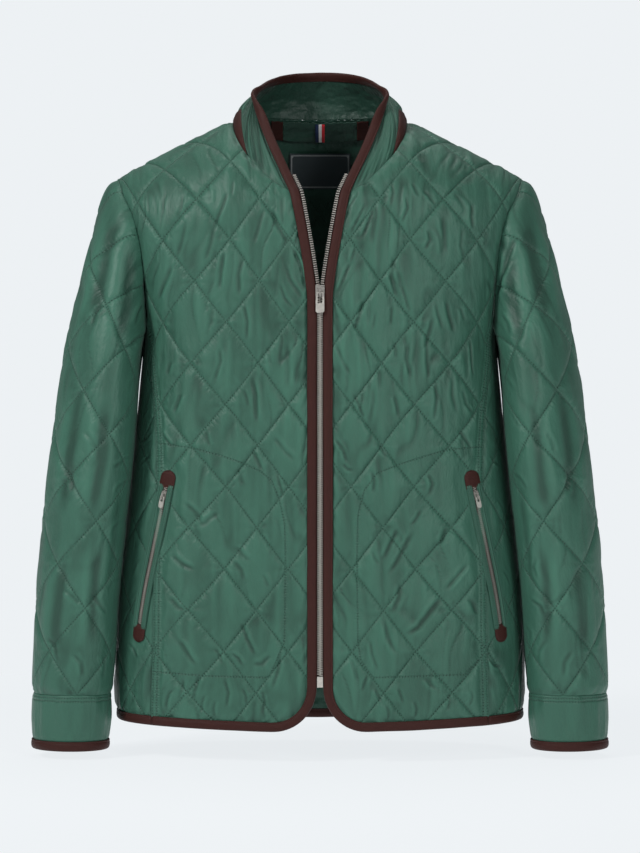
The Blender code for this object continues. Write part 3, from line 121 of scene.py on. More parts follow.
# ---------------- arithmetic on arrays ----------------
def hermite(table, x):
    """Smooth curve through rows (x, value ...); x may be an array, values come last."""
    rows = np.asarray(table, float)
    xs = rows[:, 0]
    ys = rows[:, 1:]
    x = np.clip(np.asarray(x, float), xs[0], xs[-1])
    i = np.clip(np.searchsorted(xs, x) - 1, 0, len(xs) - 2)
    before = np.maximum(np.arange(len(xs)) - 1, 0)
    after = np.minimum(np.arange(len(xs)) + 1, len(xs) - 1)
    slope = (ys[after] - ys[before]) / (xs[after] - xs[before])[:, None]
    h = (xs[i + 1] - xs[i])[..., None]
    t = (x - xs[i])[..., None] / h
    a = 2 * t ** 3 - 3 * t ** 2 + 1
    b = t ** 3 - 2 * t ** 2 + t
    c = -2 * t ** 3 + 3 * t ** 2
    d = t ** 3 - t ** 2
    return a * ys[i] + b * h * slope[i] + c * ys[i + 1] + d * h * slope[i + 1]

def lengths(points):
    """Distance along a line to each of its points."""
    return np.concatenate([[0], np.cumsum(np.linalg.norm(np.diff(points, axis=0), axis=1))])

def between(x, xs, table):
    """Every column of a table, interpolated at x."""
    return np.stack([np.interp(x, xs, column) for column in table.T], axis=-1)

def steps(a, b, step):
    """Evenly spaced values from a to b."""
    return np.linspace(a, b, max(int(round(abs(b - a) / step)), 1) + 1)

def resample(points, step):
    run = lengths(points)
    return between(steps(0, run[-1], step), run, np.asarray(points, float))

def smooth_line(points, dense=12):
    pts = np.asarray(points, float)
    run = lengths(pts)
    return hermite(np.column_stack([run, pts]), np.linspace(0, run[-1], dense * (len(pts) - 1) + 1))

def ease(x):
    x = np.clip(x, 0, 1)
    return x * x * (3 - 2 * x)

def unit(v):
    return v / np.maximum(np.linalg.norm(v, axis=-1, keepdims=True), 1e-12)

def hashed(i, j, seed):
    """Fixed pseudo-random value from 0 to 1 for whole-number cells."""
    h = np.sin(i * 127.1 + j * 311.7 + seed * 74.7) * 43758.5453
    return h - np.floor(h)

def noise(x, y, seed=0.0):
    """Smooth value noise from -1 to 1."""
    xi = np.floor(x)
    yi = np.floor(y)
    fx = ease(x - xi)
    fy = ease(y - yi)
    a = hashed(xi, yi, seed)
    b = hashed(xi + 1, yi, seed)
    c = hashed(xi, yi + 1, seed)
    d = hashed(xi + 1, yi + 1, seed)
    return 2 * ((a * (1 - fx) + b * fx) * (1 - fy) + (c * (1 - fx) + d * fx) * fy) - 1

# ---------------- torso ----------------
def section_table():
    angle = np.linspace(0, math.pi / 2, 721)
    x = BODY_HALF_WIDTH * np.sin(angle) ** (2 / BODY_POWER)
    y = BODY_HALF_DEPTH * np.cos(angle) ** (2 / BODY_POWER)
    run = np.concatenate([[0], np.cumsum(np.hypot(np.diff(x), np.diff(y)))])
    return run, x, y

RUN, SECTION_X, SECTION_Y = section_table()
QUARTER = RUN[-1]
SHAPE = [(z * MM, w * MM / BODY_HALF_WIDTH, d * MM / BODY_HALF_DEPTH) for z, w, d in BODY_SHAPE]

def section(u):
    d = np.abs(u)
    far = d > QUARTER
    d = np.where(far, 2 * QUARTER - d, d)
    x = np.interp(d, RUN, SECTION_X) * np.where(u >= 0, 1, -1)
    y = np.interp(d, RUN, SECTION_Y)
    return x, np.where(far, y, -y)

def crest(x, back):
    d = np.abs(x)
    near = BACK_NECK_RISE * (1 - (d / NECK_HALF) ** 3) if back else 0.0 * d
    return np.where(d > NECK_HALF, -SHOULDER_SLOPE * (d - NECK_HALF), near)

def torso(u, v, back=False):
    u = np.asarray(u, float)
    v = np.asarray(v, float)
    x, y = section(u)
    if back:
        y = -y
    radius = np.maximum(np.abs(y), 1e-6)
    bend = crest(x, back) - radius
    turn = (v - (bend - PATTERN_BASE)) / radius
    flat = turn <= 0
    over = turn >= math.pi / 2
    z = np.where(flat, PATTERN_BASE + v, bend + radius * np.sin(np.clip(turn, 0, math.pi / 2)))
    y = y * np.where(flat, 1, np.where(over, math.pi / 2 - turn, np.cos(np.clip(turn, 0, math.pi / 2))))
    shape = hermite(SHAPE, z)
    return np.stack([x * shape[..., 0], y * shape[..., 1], z], axis=-1)

def torso_back(u, v):
    return torso(u, v, True)

def pattern_u(x, z):
    wide = hermite(SHAPE, z)[0]
    return float(np.interp(abs(x) / wide, SECTION_X, RUN)) * (1 if x >= 0 else -1)

def fold_of(u, back):
    """Height where the pattern starts to bend over the shoulder, and the bend's radius."""
    sx, sy = section(u)
    radius = abs(float(sy))
    return float(crest(sx, back)) - radius, radius

def pattern_at(x, z, back=False):
    """Pattern point seen from in front or behind at x and z."""
    u = pattern_u(x, z)
    bend, radius = fold_of(u, back)
    turn = math.asin(min((z - bend) / radius, 1)) if z > bend else 0
    return (u, min(z, bend) - PATTERN_BASE + radius * turn)

def pattern_at_depth(x, y):
    """Pattern point of the back seen from above at x and y."""
    u = pattern_u(x, 0.0)
    bend, radius = fold_of(u, True)
    turn = math.acos(min(max(abs(y) / hermite(SHAPE, 0.0)[1] / radius, 0), 1))
    return (u, bend - PATTERN_BASE + radius * turn)

def hem_height(u, back=False):
    d = np.abs(u) / QUARTER
    if back:
        return HEM_SIDE + (HEM_BACK - HEM_SIDE) * ease(1 - d)
    return np.where(d <= 1, HEM_SIDE + (HEM_FRONT - HEM_SIDE) * ease(1 - d),
                    HEM_SIDE + (HEM_BACK - HEM_SIDE) * ease(d - 1))

QUILT_U = np.linspace(0, 2 * QUARTER, 421)
QUILT_RUN = QUILT_U - QUILT_SLACK * ease((QUILT_U - QUILT_TURN[0]) / (QUILT_TURN[1] - QUILT_TURN[0]))

def quilt_scale(v):
    return hermite(QUILT_SCALE, (PATTERN_BASE + np.asarray(v, float)) / MM)[..., 0]

def to_quilt(loop):
    """Quilted cloth positions of body pattern points."""
    u, v = np.asarray(loop, float).T
    return np.column_stack([np.sign(u) * np.interp(np.abs(u), QUILT_U, QUILT_RUN) * quilt_scale(v), v])

def from_quilt(s, v):
    """Body pattern distance of quilted cloth points."""
    return np.sign(s) * np.interp(np.abs(s) / quilt_scale(v), QUILT_RUN, QUILT_U)

def torso_cloth(s, v):
    return torso(from_quilt(s, v), v)

def back_cloth(s, v):
    return torso(from_quilt(s, v), v, True)

def crest_pattern(x, back=False):
    sx = x
    for _ in range(6):
        sx = x / hermite(SHAPE, float(crest(sx, back)))[0]
    u = float(np.interp(sx, SECTION_X, RUN))
    bend, radius = fold_of(u, back)
    return (u, bend - PATTERN_BASE + radius * math.pi / 2)

def to_pattern(rows, back=False):
    return [pattern_at(x * MM, z * MM, back) for x, z in rows]

def hem_line(u0, u1, back=False):
    us = steps(u0, u1, 6 * MM)
    return np.column_stack([us, hem_height(us, back) - PATTERN_BASE])

def open_shift(z):
    share = (z - OPEN_FROM) / (OPEN_TO - OPEN_FROM)
    return OPEN_SPREAD * min(max(share, 0), 1.2) ** OPEN_POWER

# ---------------- seam lines, left half ----------------
STEP = 8 * MM
side_top = pattern_at(196 * MM, -232 * MM)
side_line = smooth_line(to_pattern(SIDE_SEAM[:-1]) + [side_top])
side_foot_u = float(np.interp(HEM_SIDE - PATTERN_BASE, side_line[:, 1], side_line[:, 0]))
side_foot_v = float(hem_height(side_foot_u)) - PATTERN_BASE
SIDE_RISE = resample([(side_foot_u, side_foot_v)] + [p for p in side_line if p[1] > side_foot_v + 5 * MM], STEP)
BACK_SIDE = SIDE_RISE.copy()
BACK_SIDE[0, 1] = float(hem_height(SIDE_RISE[0, 0], True)) - PATTERN_BASE
shoulder_x = np.linspace(NECK_HALF, SHOULDER_END, 18)
SHOULDER_FRONT = np.array([crest_pattern(x) for x in shoulder_x])
SHOULDER_BACK = np.array([crest_pattern(x, True) for x in shoulder_x])
ARM_FRONT = resample(smooth_line([SHOULDER_FRONT[-1]] + to_pattern(ARMHOLE_FRONT[1:-1]) + [side_top]), STEP)
ARM_BACK = resample(smooth_line([SHOULDER_BACK[-1]] + to_pattern(ARMHOLE_BACK[1:-1], True) + [side_top]), STEP)
under_v = UNDERARM - PATTERN_BASE
ARM_UNDER = resample(smooth_line([side_top, (side_top[0] + 12 * MM, under_v + 6.5 * MM),
                                  (QUARTER - 14 * MM, under_v + 0.8 * MM), (QUARTER, under_v)]), STEP)
NECK_F = resample(smooth_line([SHOULDER_FRONT[0]] + to_pattern(NECK_FRONT[1:])), STEP)
NECK_B = resample(smooth_line([pattern_at_depth(x * MM, y * MM) for x, y in NECK_BACK[:-1]] + [SHOULDER_BACK[0]]),
                  STEP)

def front_edge_line():
    top = NECK_FRONT[-1][1] * MM
    straight_end = HEM_FRONT + CORNER_RADIUS
    zs = [top - k * 5.5 * MM for k in range(1, 21)]
    zs += list(np.linspace(OPEN_FROM - 2 * MM, straight_end, 54))
    pts = [pattern_at(FRONT_EDGE + open_shift(z), z) for z in zs]
    low = HEM_FRONT - PATTERN_BASE
    cu = pts[-1][0] + CORNER_RADIUS
    cv = pts[-1][1]
    for k in range(1, 13):
        a = math.pi / 2 * k / 12
        u = cu - CORNER_RADIUS * math.cos(a)
        v = cv - CORNER_RADIUS * math.sin(a)
        pts.append((u, v + (float(hem_height(u)) - PATTERN_BASE - low) * (k / 12)))
    return np.array(pts)

FRONT_LINE = front_edge_line()

def flip_u(loop):
    out = np.array(loop)[::-1].copy()
    out[:, 0] *= -1
    return out

def front_outline():
    hem = hem_line(FRONT_LINE[-1][0], SIDE_RISE[0][0])
    return np.vstack([hem[:-1], SIDE_RISE[:-1], ARM_FRONT[::-1][:-1], SHOULDER_FRONT[::-1][:-1], NECK_F,
                      FRONT_LINE[:-1]])

def back_outline():
    hem = hem_line(0, BACK_SIDE[0][0], True)
    half = np.vstack([hem[:-1], BACK_SIDE[:-1], ARM_BACK[::-1][:-1], SHOULDER_BACK[::-1][:-1], NECK_B[::-1]])
    return np.vstack([half, flip_u(half)[1:-1]])

def behind(rows):
    """Pattern points carried round to the same place behind the side."""
    return np.column_stack([2 * QUARTER - rows[:, 0], rows[:, 1]])

def side_outline():
    far = behind(BACK_SIDE)
    hem = hem_line(SIDE_RISE[0][0], far[0][0])
    return np.vstack([hem[:-1], far[:-1], behind(ARM_UNDER)[:-1], ARM_UNDER[::-1][:-1], SIDE_RISE[::-1][:-1]])

# ---------------- sleeve ----------------
def arm_loop():
    front = np.vstack([torso(*ARM_FRONT.T), torso(*ARM_UNDER[1:].T)])
    back = np.vstack([torso_back(*ARM_BACK.T), torso(*behind(ARM_UNDER[1:]).T)])
    rows = []
    for line, sign in ((front, 1), (back, -1)):
        run = lengths(line)
        rows.append(np.column_stack([sign * math.pi * run / run[-1], line]))
    return np.vstack([rows[1][::-1], rows[0][1:]])

LOOP_ROWS = arm_loop()
LOOP_ANGLE = LOOP_ROWS[:, 0]
LOOP_POS = LOOP_ROWS[:, 1:]
RING = np.array(SLEEVE_RINGS, float) * MM
KEYS = np.concatenate([[0], np.cumsum((np.hypot(np.diff(RING[:, 0]), np.diff(RING[:, 1]))
                                       + np.hypot(np.diff(RING[:, 2]), np.diff(RING[:, 3]))) / 2)])
RING_TABLE = np.column_stack([KEYS, RING])
KEY_CUFF = float(np.interp(-CUFF_TOP, -RING[:, 3], KEYS))

def ring_point(angle, key):
    row = hermite(RING_TABLE, key)
    ox, oz, ix, iz, d, oy, iy = (row[..., k] for k in range(7))
    c = np.cos(angle)
    s = np.sin(angle)
    return np.stack([(ox + ix) / 2 + (ox - ix) / 2 * c, (oy + iy) / 2 + (oy - iy) / 2 * c - d * s,
                     (oz + iz) / 2 + (oz - iz) / 2 * c], axis=-1)

def sleeve_point(angle, key):
    angle = np.asarray(angle, float)
    key = np.asarray(key, float)
    fade = (1 - ease(key / FREE_RUN))[..., None]
    target = between(angle, LOOP_ANGLE, LOOP_POS)
    return ring_point(angle, key) + (target - ring_point(angle, np.zeros_like(key))) * fade

ANGLES = np.linspace(-math.pi, math.pi, 289)
MARKS = np.linspace(0, KEY_CUFF, 160)
GRID = sleeve_point(ANGLES[:, None] + 0 * MARKS[None], MARKS[None] + 0 * ANGLES[:, None])
STEPS = np.linalg.norm(np.diff(GRID, axis=1), axis=2)
RISE = np.concatenate([np.cumsum(STEPS[:, ::-1], axis=1)[:, ::-1], np.zeros((len(ANGLES), 1))], axis=1)
AROUND = np.linalg.norm(np.diff(GRID, axis=0), axis=2).sum(axis=0)

def grid_value(table, angle, key):
    """Value of a table over angles and marks, and its change with the key."""
    a = (angle + math.pi) / (2 * math.pi) * (len(ANGLES) - 1)
    i = np.clip(a.astype(int), 0, len(ANGLES) - 2)
    f = a - i
    b = np.clip(key / MARKS[-1], 0, 1) * (len(MARKS) - 1)
    j = np.clip(b.astype(int), 0, len(MARKS) - 2)
    g = b - j
    low = table[i, j] * (1 - f) + table[i + 1, j] * f
    high = table[i, j + 1] * (1 - f) + table[i + 1, j + 1] * f
    return low * (1 - g) + high * g, (high - low) / (MARKS[1] - MARKS[0])

def twist(v):
    return SLEEVE_TWIST[0] + SLEEVE_TWIST[1] * v

def cloth_across(angle, v):
    return SLEEVE_SPAN * (angle / (2 * math.pi) - twist(v))

def sleeve(s, v):
    s = np.asarray(s, float)
    v = np.asarray(v, float)
    angle = np.clip(2 * math.pi * (s / SLEEVE_SPAN + twist(v)), -math.pi, math.pi)
    key = np.clip(KEY_CUFF * (1 - v / RISE.max()), 0, KEY_CUFF)
    for _ in range(12):
        rise, slope = grid_value(RISE, angle, key)
        key = np.clip(key - (rise - v) / slope, 0, KEY_CUFF)
    return sleeve_point(angle, key)

def sleeve_outline():
    heights = np.interp(np.linspace(KEY_CUFF, 0, 60), MARKS, RISE[-1])
    up = np.column_stack([cloth_across(math.pi, heights), heights])
    down = np.column_stack([cloth_across(-math.pi, heights), heights])[::-1]
    turns = LOOP_ANGLE[::-1]
    tops = np.interp(turns, ANGLES, RISE[:, 0])
    top = np.column_stack([cloth_across(turns, tops), tops])
    turns = np.linspace(-math.pi, math.pi, 41)
    foot = np.column_stack([cloth_across(turns, 0 * turns), 0 * turns])
    return np.vstack([foot[:-1], up[:-1], top[:-1], down[:-1]])

# ---------------- collar ----------------
NECK_POS = np.vstack([torso_back(*NECK_B.T), torso(*NECK_F[1:].T)])
NECK_RUN = lengths(NECK_POS)
NECK_LENGTH = float(NECK_RUN[-1])
HPS_SHARE = float(NECK_RUN[len(NECK_B) - 1]) / NECK_LENGTH
RIM_LINE = smooth_line([(x * MM, y * MM, z * MM) for x, y, z in COLLAR_RIM])
RIM_RUN = lengths(RIM_LINE)

def collar(a, h):
    a = np.asarray(a, float)
    h = np.asarray(h, float)
    share = np.clip(np.abs(a) / NECK_LENGTH, 0, 1)
    low = between(share * NECK_LENGTH, NECK_RUN, NECK_POS)
    run = hermite(RIM_PAIRS, share)[..., 0] * RIM_RUN[-1]
    high = between(run, RIM_RUN, RIM_LINE)
    t = (h / COLLAR_TALL)[..., None]
    p = low + (high - low) * t
    out = np.stack([p[..., 0], p[..., 1] - 5 * MM, 0 * p[..., 0]], axis=-1)
    p = p + unit(out) * COLLAR_BULGE * np.sin(math.pi * np.clip(t, 0, 1))
    p[..., 0] = np.where(a >= 0, p[..., 0], -p[..., 0])
    return p

GUSSET_SHARE = GUSSET_TALL / float(np.linalg.norm(collar(HPS_SHARE * NECK_LENGTH, COLLAR_TALL)
                                                  - collar(HPS_SHARE * NECK_LENGTH, 0))) * COLLAR_TALL

def gusset_height(share):
    t = np.clip((share - GUSSET_SPAN[0]) / (GUSSET_SPAN[1] - GUSSET_SPAN[0]), 0, 1)
    return GUSSET_SHARE * np.sin(math.pi * t ** GUSSET_LEAN) ** GUSSET_ROUND

def collar_side():
    pts = [(NECK_LENGTH, h) for h in np.linspace(0, COLLAR_TALL - COLLAR_CORNER[1], 22)]
    for k in range(1, 9):
        w = math.pi / 2 * k / 8
        pts.append((NECK_LENGTH - COLLAR_CORNER[0] * (1 - math.cos(w)),
                    COLLAR_TALL - COLLAR_CORNER[1] * (1 - math.sin(w))))
    start = pts[-1][0]
    pts += [(a, COLLAR_TALL) for a in np.linspace(start, 0, 40)[1:]]
    return np.array(pts)

COLLAR_SIDE = collar_side()

def collar_outline():
    low = np.column_stack([NECK_RUN, gusset_height(NECK_RUN / NECK_LENGTH)])
    half = np.vstack([low[:-1], COLLAR_SIDE])
    return np.vstack([half, flip_u(half)[1:-1]])

def gusset_outline():
    runs = np.linspace(GUSSET_SPAN[0] * NECK_LENGTH, GUSSET_SPAN[1] * NECK_LENGTH, 26)
    high = np.column_stack([runs[1:-1], gusset_height(runs[1:-1] / NECK_LENGTH)])
    return np.vstack([np.column_stack([runs, 0 * runs]), high[::-1]])

# ---------------- creases: depth, width, then x and z down the line, all in mm ----------------------------
RIGHT_CREASES = (
    (1, 1.5, 195, -82, 195, -114, 199, -135), (0.8, 2.4, 172, -86, 175, -110, 178, -133),
    (0.7, 2.4, 151, -88, 153, -103, 159, -117), (0.8, 2.4, 126, -76, 122, -88, 121, -102),
    (1.6, 2.7, 102, -88, 107, -104, 118, -128), (0.8, 2.4, 96, -75, 97, -85, 98, -94),
    (1, 3, 117, -122, 121, -145, 128, -166), (0.8, 2.4, 148, -117, 152, -139, 158, -159),
    (1.3, 4.2, 163, -166, 172, -186, 181, -208), (1.5, 3, 106, -153, 109, -175, 112, -199),
    (1.1, 3.6, 84, -158, 90, -180, 89, -206), (0.9, 3, 61, -103, 67, -125, 74, -148),
    (1.3, 3.6, 55, -106, 47, -126, 35, -145), (1.7, 2.7, 32, -147, 22, -168, 16, -197),
    (1, 2.7, 39, -166, 33, -186, 18, -208), (0.9, 2.4, 45, -188, 39, -206, 29, -218),
    (1.4, 2.7, 84, -210, 80, -232, 81, -254), (0.7, 3, 119, -210, 120, -230, 127, -252),
    (1.3, 2.4, 111, -258, 110, -276, 117, -299), (1.7, 3.3, 76, -291, 71, -313, 70, -346),
    (0.9, 2.7, 85, -305, 81, -316, 79, -327), (1.1, 3, 153, -310, 159, -324, 163, -334),
    (0.8, 3.6, 165, -274, 168, -283, 170, -291), (0.9, 2.4, 127, -352, 125, -361, 122, -371),
    (1, 3, 58, -258, 56, -269, 55, -280), (1.2, 4.2, 36, -254, 35, -285, 36, -310),
    (1.3, 3, 75, -374, 69, -385, 64, -398), (0.9, 3.6, 53, -357, 38, -376, 26, -387),
    (1.2, 2.4, 179, -350, 171, -363, 164, -372), (1.3, 2.4, 48, -398, 44, -413, 40, -426),
    (0.8, 4.2, 91, -394, 88, -403, 85, -414), (1, 3, 152, -431, 138, -443, 129, -460),
    (0.9, 3.6, 132, -459, 123, -451, 112, -443), (1.1, 3.6, 165, -490, 154, -501, 139, -508),
    (1, 3.6, 95, -480, 85, -491, 76, -498), (0.9, 3.6, 97, -496, 87, -507, 84, -520),
    (0.8, 3, 64, -510, 60, -518, 57, -527), (1.4, 3, 88, -564, 80, -584, 71, -603),
    (1, 3.6, 75, -611, 64, -611, 54, -600), (1.2, 3, 157, -584, 146, -601, 136, -615),
    (1, 2.4, 116, -593, 111, -602, 108, -612), (1.2, 2.4, 99, -598, 90, -605, 85, -614),
    (1.2, 2.7, 133, -623, 138, -637, 141, -653), (1.2, 2.4, 106, -626, 101, -643, 104, -661),
    (1, 2.4, 151, -626, 153, -640, 158, -653), (1, 2.4, 86, -637, 82, -646, 81, -657),
    (1.1, 3, 43, -593, 46, -617, 54, -642), (1, 3.6, 168, -538, 159, -547, 150, -555),
    (1, 2.4, 191, -324, 199, -334, 203, -343), (1.1, 2.4, 188, -352, 195, -362, 205, -365),
    (1.1, 2.4, 190, -379, 198, -387, 203, -392), (1, 2.4, 177, -451, 183, -460, 185, -469),
    (0.9, 2.4, 201, -496, 206, -503, 211, -516), (1, 2.4, 203, -529, 209, -536, 213, -543),
    (0.9, 2.4, 188, -540, 192, -553, 191, -567), (1, 2.4, 216, -590, 209, -598, 203, -609),
    (1.1, 2.4, 165, -640, 170, -651, 172, -664), (1.1, 2.1, 64, -640, 61, -653, 64, -668),
    (1, 2.1, 116, -651, 118, -661, 117, -671), (1, 2.1, 127, -644, 131, -655, 132, -668),
)
LEFT_CREASES = (
    (1.5, 2.7, 60, -104, 54, -122, 45, -143), (1.2, 2.1, 51, -100, 42, -118, 33, -135),
    (1, 1.8, 44, -87, 34, -103, 26, -122), (1.3, 2.4, 79, -75, 81, -89, 78, -106),
    (1.3, 2.4, 95, -92, 97, -106, 90, -124), (1, 2.4, 102, -78, 106, -86, 109, -94),
    (1.2, 2.4, 115, -86, 122, -94, 128, -103), (1.2, 2.7, 119, -128, 122, -141, 116, -153),
    (1, 2.4, 127, -125, 133, -139, 135, -159), (1.2, 3.6, 136, -112, 138, -133, 139, -159),
    (1.1, 3, 170, -97, 168, -114, 171, -131), (0.8, 2.4, 158, -125, 156, -147, 161, -166),
    (1.5, 3.6, 82, -161, 79, -183, 86, -207), (1, 2.4, 90, -190, 95, -207, 100, -222),
    (1, 2.4, 128, -208, 131, -224, 136, -242), (1.3, 3, 140, -206, 143, -224, 148, -244),
    (1.3, 3, 125, -224, 120, -247, 116, -264), (1, 2.4, 156, -214, 158, -221, 160, -230),
    (1.3, 2.7, 35, -164, 27, -183, 19, -202), (1, 2.4, 40, -148, 37, -157, 33, -168),
    (1.3, 3, 49, -206, 43, -226, 36, -245), (0.9, 2.4, 61, -221, 60, -231, 58, -242),
    (1, 2.4, 80, -213, 79, -224, 78, -237), (1.4, 3, 98, -252, 96, -274, 101, -296),
    (1.2, 2.4, 118, -255, 118, -276, 121, -296), (1.2, 2.4, 128, -294, 129, -319, 126, -343),
    (1, 3, 147, -289, 147, -313, 153, -337), (1.6, 2.1, 167, -250, 168, -272, 170, -296),
    (1, 3.6, 59, -300, 59, -321, 54, -348), (1.2, 2.4, 37, -311, 43, -324, 49, -340),
    (1.6, 2.4, 16, -361, 26, -375, 30, -389), (1.2, 2.4, 25, -389, 30, -395, 37, -397),
    (1, 3, 17, -255, 26, -276, 35, -293), (1, 2.4, 154, -351, 162, -362, 168, -373),
    (1, 2.4, 158, -305, 162, -323, 172, -336), (1.2, 2.4, 119, -399, 125, -412, 120, -427),
    (1, 3, 64, -366, 69, -374, 74, -382), (1.2, 3, 57, -396, 60, -408, 59, -423),
    (1, 3, 82, -312, 85, -324, 87, -336), (1, 3, 82, -255, 84, -264, 84, -273),
    (1.3, 3.6, 87, -460, 78, -479, 69, -498), (1.2, 3.6, 104, -462, 89, -492, 75, -514),
    (1.5, 3.6, 136, -537, 122, -553, 109, -571, 94, -580), (1.2, 3.6, 90, -521, 87, -539, 79, -555),
    (1.2, 3, 139, -531, 151, -517, 165, -500), (1.1, 3, 140, -460, 137, -470, 133, -481),
    (1.2, 3.6, 71, -560, 76, -584, 86, -603), (1.2, 2.4, 55, -582, 58, -601, 65, -620),
    (1.1, 2.4, 112, -440, 108, -449, 101, -458), (1, 2.4, 57, -485, 60, -492, 65, -502),
    (1, 2.4, 60, -637, 64, -645, 68, -655), (1, 2.4, 86, -637, 89, -645, 92, -655),
    (1, 3, 116, -626, 122, -633, 130, -641), (0.9, 3, 35, -604, 38, -615, 42, -631),
    (1, 2.4, 53, -621, 50, -630, 46, -642), (0.9, 3.6, 165, -538, 171, -548, 177, -559),
    (1.1, 2.4, 189, -341, 196, -352, 202, -364), (1, 2.4, 188, -379, 195, -387, 203, -393),
    (0.9, 2.4, 198, -429, 204, -438, 209, -451), (1, 2.4, 185, -474, 193, -482, 203, -487),
    (0.9, 2.4, 203, -507, 210, -516, 215, -529), (1, 2.4, 200, -540, 206, -548, 214, -552),
    (1, 2.4, 187, -606, 194, -615, 204, -619), (1, 2.1, 142, -644, 144, -653, 141, -664),
    (1.1, 2.1, 104, -651, 107, -661, 105, -672), (1, 2.1, 73, -655, 76, -664, 75, -674),
    (1, 2.1, 167, -640, 169, -650, 165, -661),
)
RIGHT_ARM_CREASES = (
    (1.6, 9.6, 230, -110, 242, -166, 254, -232), (1.3, 8.4, 212, -133, 216, -197, 224, -263),
    (1.3, 9.6, 266, -296, 276, -363, 287, -451), (1.4, 8.4, 239, -319, 243, -385, 254, -451),
    (1.2, 9.6, 285, -496, 293, -551, 298, -606), (1.3, 8.4, 247, -474, 252, -529, 254, -595),
    (1.2, 7.2, 223, -407, 230, -474, 239, -540), (1.3, 3, 200, -208, 206, -220, 210, -236),
    (1, 3, 202, -243, 209, -250, 214, -260), (1.2, 3, 204, -288, 212, -296, 216, -310),
    (1, 3, 209, -321, 214, -332, 222, -342), (1.1, 3, 214, -379, 224, -388, 232, -394),
    (1.2, 3, 215, -405, 225, -414, 231, -426), (1, 3, 222, -451, 231, -460, 234, -474),
    (1, 3, 225, -512, 234, -521, 239, -533), (1.1, 3, 252, -536, 246, -547, 239, -559),
    (0.9, 3, 285, -529, 274, -538, 266, -547), (1, 3, 276, -601, 267, -612, 265, -629),
    (0.9, 3, 305, -584, 296, -595, 293, -611), (1, 3, 245, -601, 242, -615, 246, -631),
    (1, 3.6, 283, -396, 276, -407, 274, -423), (0.9, 3, 261, -352, 252, -363, 247, -376),
    (1, 3, 243, -208, 251, -221, 254, -237),
)
LEFT_ARM_CREASES = (
    (1.6, 9.6, 230, -110, 242, -166, 254, -232), (1.3, 8.4, 211, -136, 215, -197, 224, -263),
    (1.3, 9.6, 266, -296, 275, -363, 285, -451), (1.4, 8.4, 237, -319, 244, -385, 252, -451),
    (1.2, 9.6, 285, -496, 292, -551, 297, -606), (1.3, 8.4, 247, -474, 253, -529, 255, -595),
    (1.3, 7.2, 223, -407, 231, -474, 240, -540), (1.6, 3, 214, -158, 205, -180, 200, -203),
    (1.4, 3, 221, -133, 213, -153, 206, -172), (1.1, 3, 205, -219, 212, -232, 214, -248),
    (1, 3, 203, -288, 212, -296, 218, -309), (1, 3, 212, -327, 219, -341, 225, -352),
    (1.1, 3, 215, -396, 224, -405, 232, -418), (1.2, 3, 242, -491, 240, -505, 244, -520),
    (1.2, 3, 236, -540, 246, -547, 251, -560), (1.1, 3, 230, -564, 237, -578, 237, -595),
    (0.9, 3, 273, -529, 266, -540, 257, -547), (1, 3, 280, -598, 273, -611, 272, -629),
    (0.9, 3, 253, -584, 246, -598, 245, -615), (1, 3.6, 280, -396, 275, -409, 274, -425),
    (0.9, 3, 250, -352, 256, -364, 260, -379),
)

# outline of the pocket bag sewn through each front, x and z in mm
RIGHT_BAG = (
    (177, -367), (142, -372), (111, -380), (87, -388), (65, -398), (53, -409), (45, -429),
    (39, -455), (38, -486), (39, -581), (40, -589), (56, -626), (122, -625), (180, -622),
)
LEFT_BAG = (
    (183, -370), (141, -374), (107, -384), (80, -393), (63, -400), (49, -419), (42, -447),
    (41, -495), (42, -584), (45, -607), (58, -626), (161, -624), (178, -607),
)

# ---------------- fine cloth meshes ----------------
def inside(loop, u, v):
    """True for each pattern point within a closed outline."""
    x0, y0 = loop[:, 0], loop[:, 1]
    x1, y1 = np.roll(x0, -1), np.roll(y0, -1)
    rise = np.where(y1 == y0, 1e-12, y1 - y0)
    hit = np.zeros(len(u), bool)
    for a, b, c, d, r in zip(x0, y0, x1, y1, rise):
        cross = ((b > v) != (d > v)) & (u < (c - a) * (v - b) / r + a)
        hit ^= cross
    return hit

def follow(line, u, v):
    """Distance of each pattern point to a line of points, its side of the line, and how far along it is."""
    best = np.full(len(u), 1e9)
    side = np.zeros(len(u))
    run = np.zeros(len(u))
    length = 0.0
    for (a, b), (c, d) in zip(line[:-1], line[1:]):
        dx, dy = c - a, d - b
        size = math.hypot(dx, dy)
        t = np.clip(((u - a) * dx + (v - b) * dy) / max(size * size, 1e-12), 0, 1)
        away = (u - a - t * dx) ** 2 + (v - b - t * dy) ** 2
        near = away < best
        best = np.where(near, away, best)
        side = np.where(near, np.sign((u - a) * dy - (v - b) * dx), side)
        run = np.where(near, length + t * size, run)
        length += size
    return np.sqrt(best), side, run, length

def distance(line, u, v):
    return follow(line, u, v)[0]

def inset(loop, away):
    """Points inside an outline at a distance from it."""
    ahead = np.roll(loop, -1, 0) - loop
    behind = loop - np.roll(loop, 1, 0)
    normal = unit(unit(ahead) + unit(behind))
    pts = loop + np.stack([-normal[:, 1], normal[:, 0]], axis=1) * away
    rim = np.vstack([loop, loop[:1]])
    good = inside(loop, pts[:, 0], pts[:, 1]) & (distance(rim, pts[:, 0], pts[:, 1]) > 0.85 * away)
    return pts[good]

def split(points, tris):
    """Each triangle into four; returns points, triangles and the midpoint of every old edge."""
    edges = np.sort(np.vstack([tris[:, [0, 1]], tris[:, [1, 2]], tris[:, [2, 0]]]), axis=1)
    unique, index = np.unique(edges, axis=0, return_inverse=True)
    ab, bc, ca = index.reshape(3, -1) + len(points)
    a, b, c = tris.T
    parts = ((a, ab, ca), (ab, b, bc), (ca, bc, c), (ab, bc, ca))
    fine = np.vstack([np.stack(t, axis=1) for t in parts])
    middle = {(int(e[0]), int(e[1])): len(points) + k for k, e in enumerate(unique)}
    return np.vstack([points, (points[unique[:, 0]] + points[unique[:, 1]]) / 2]), fine, middle

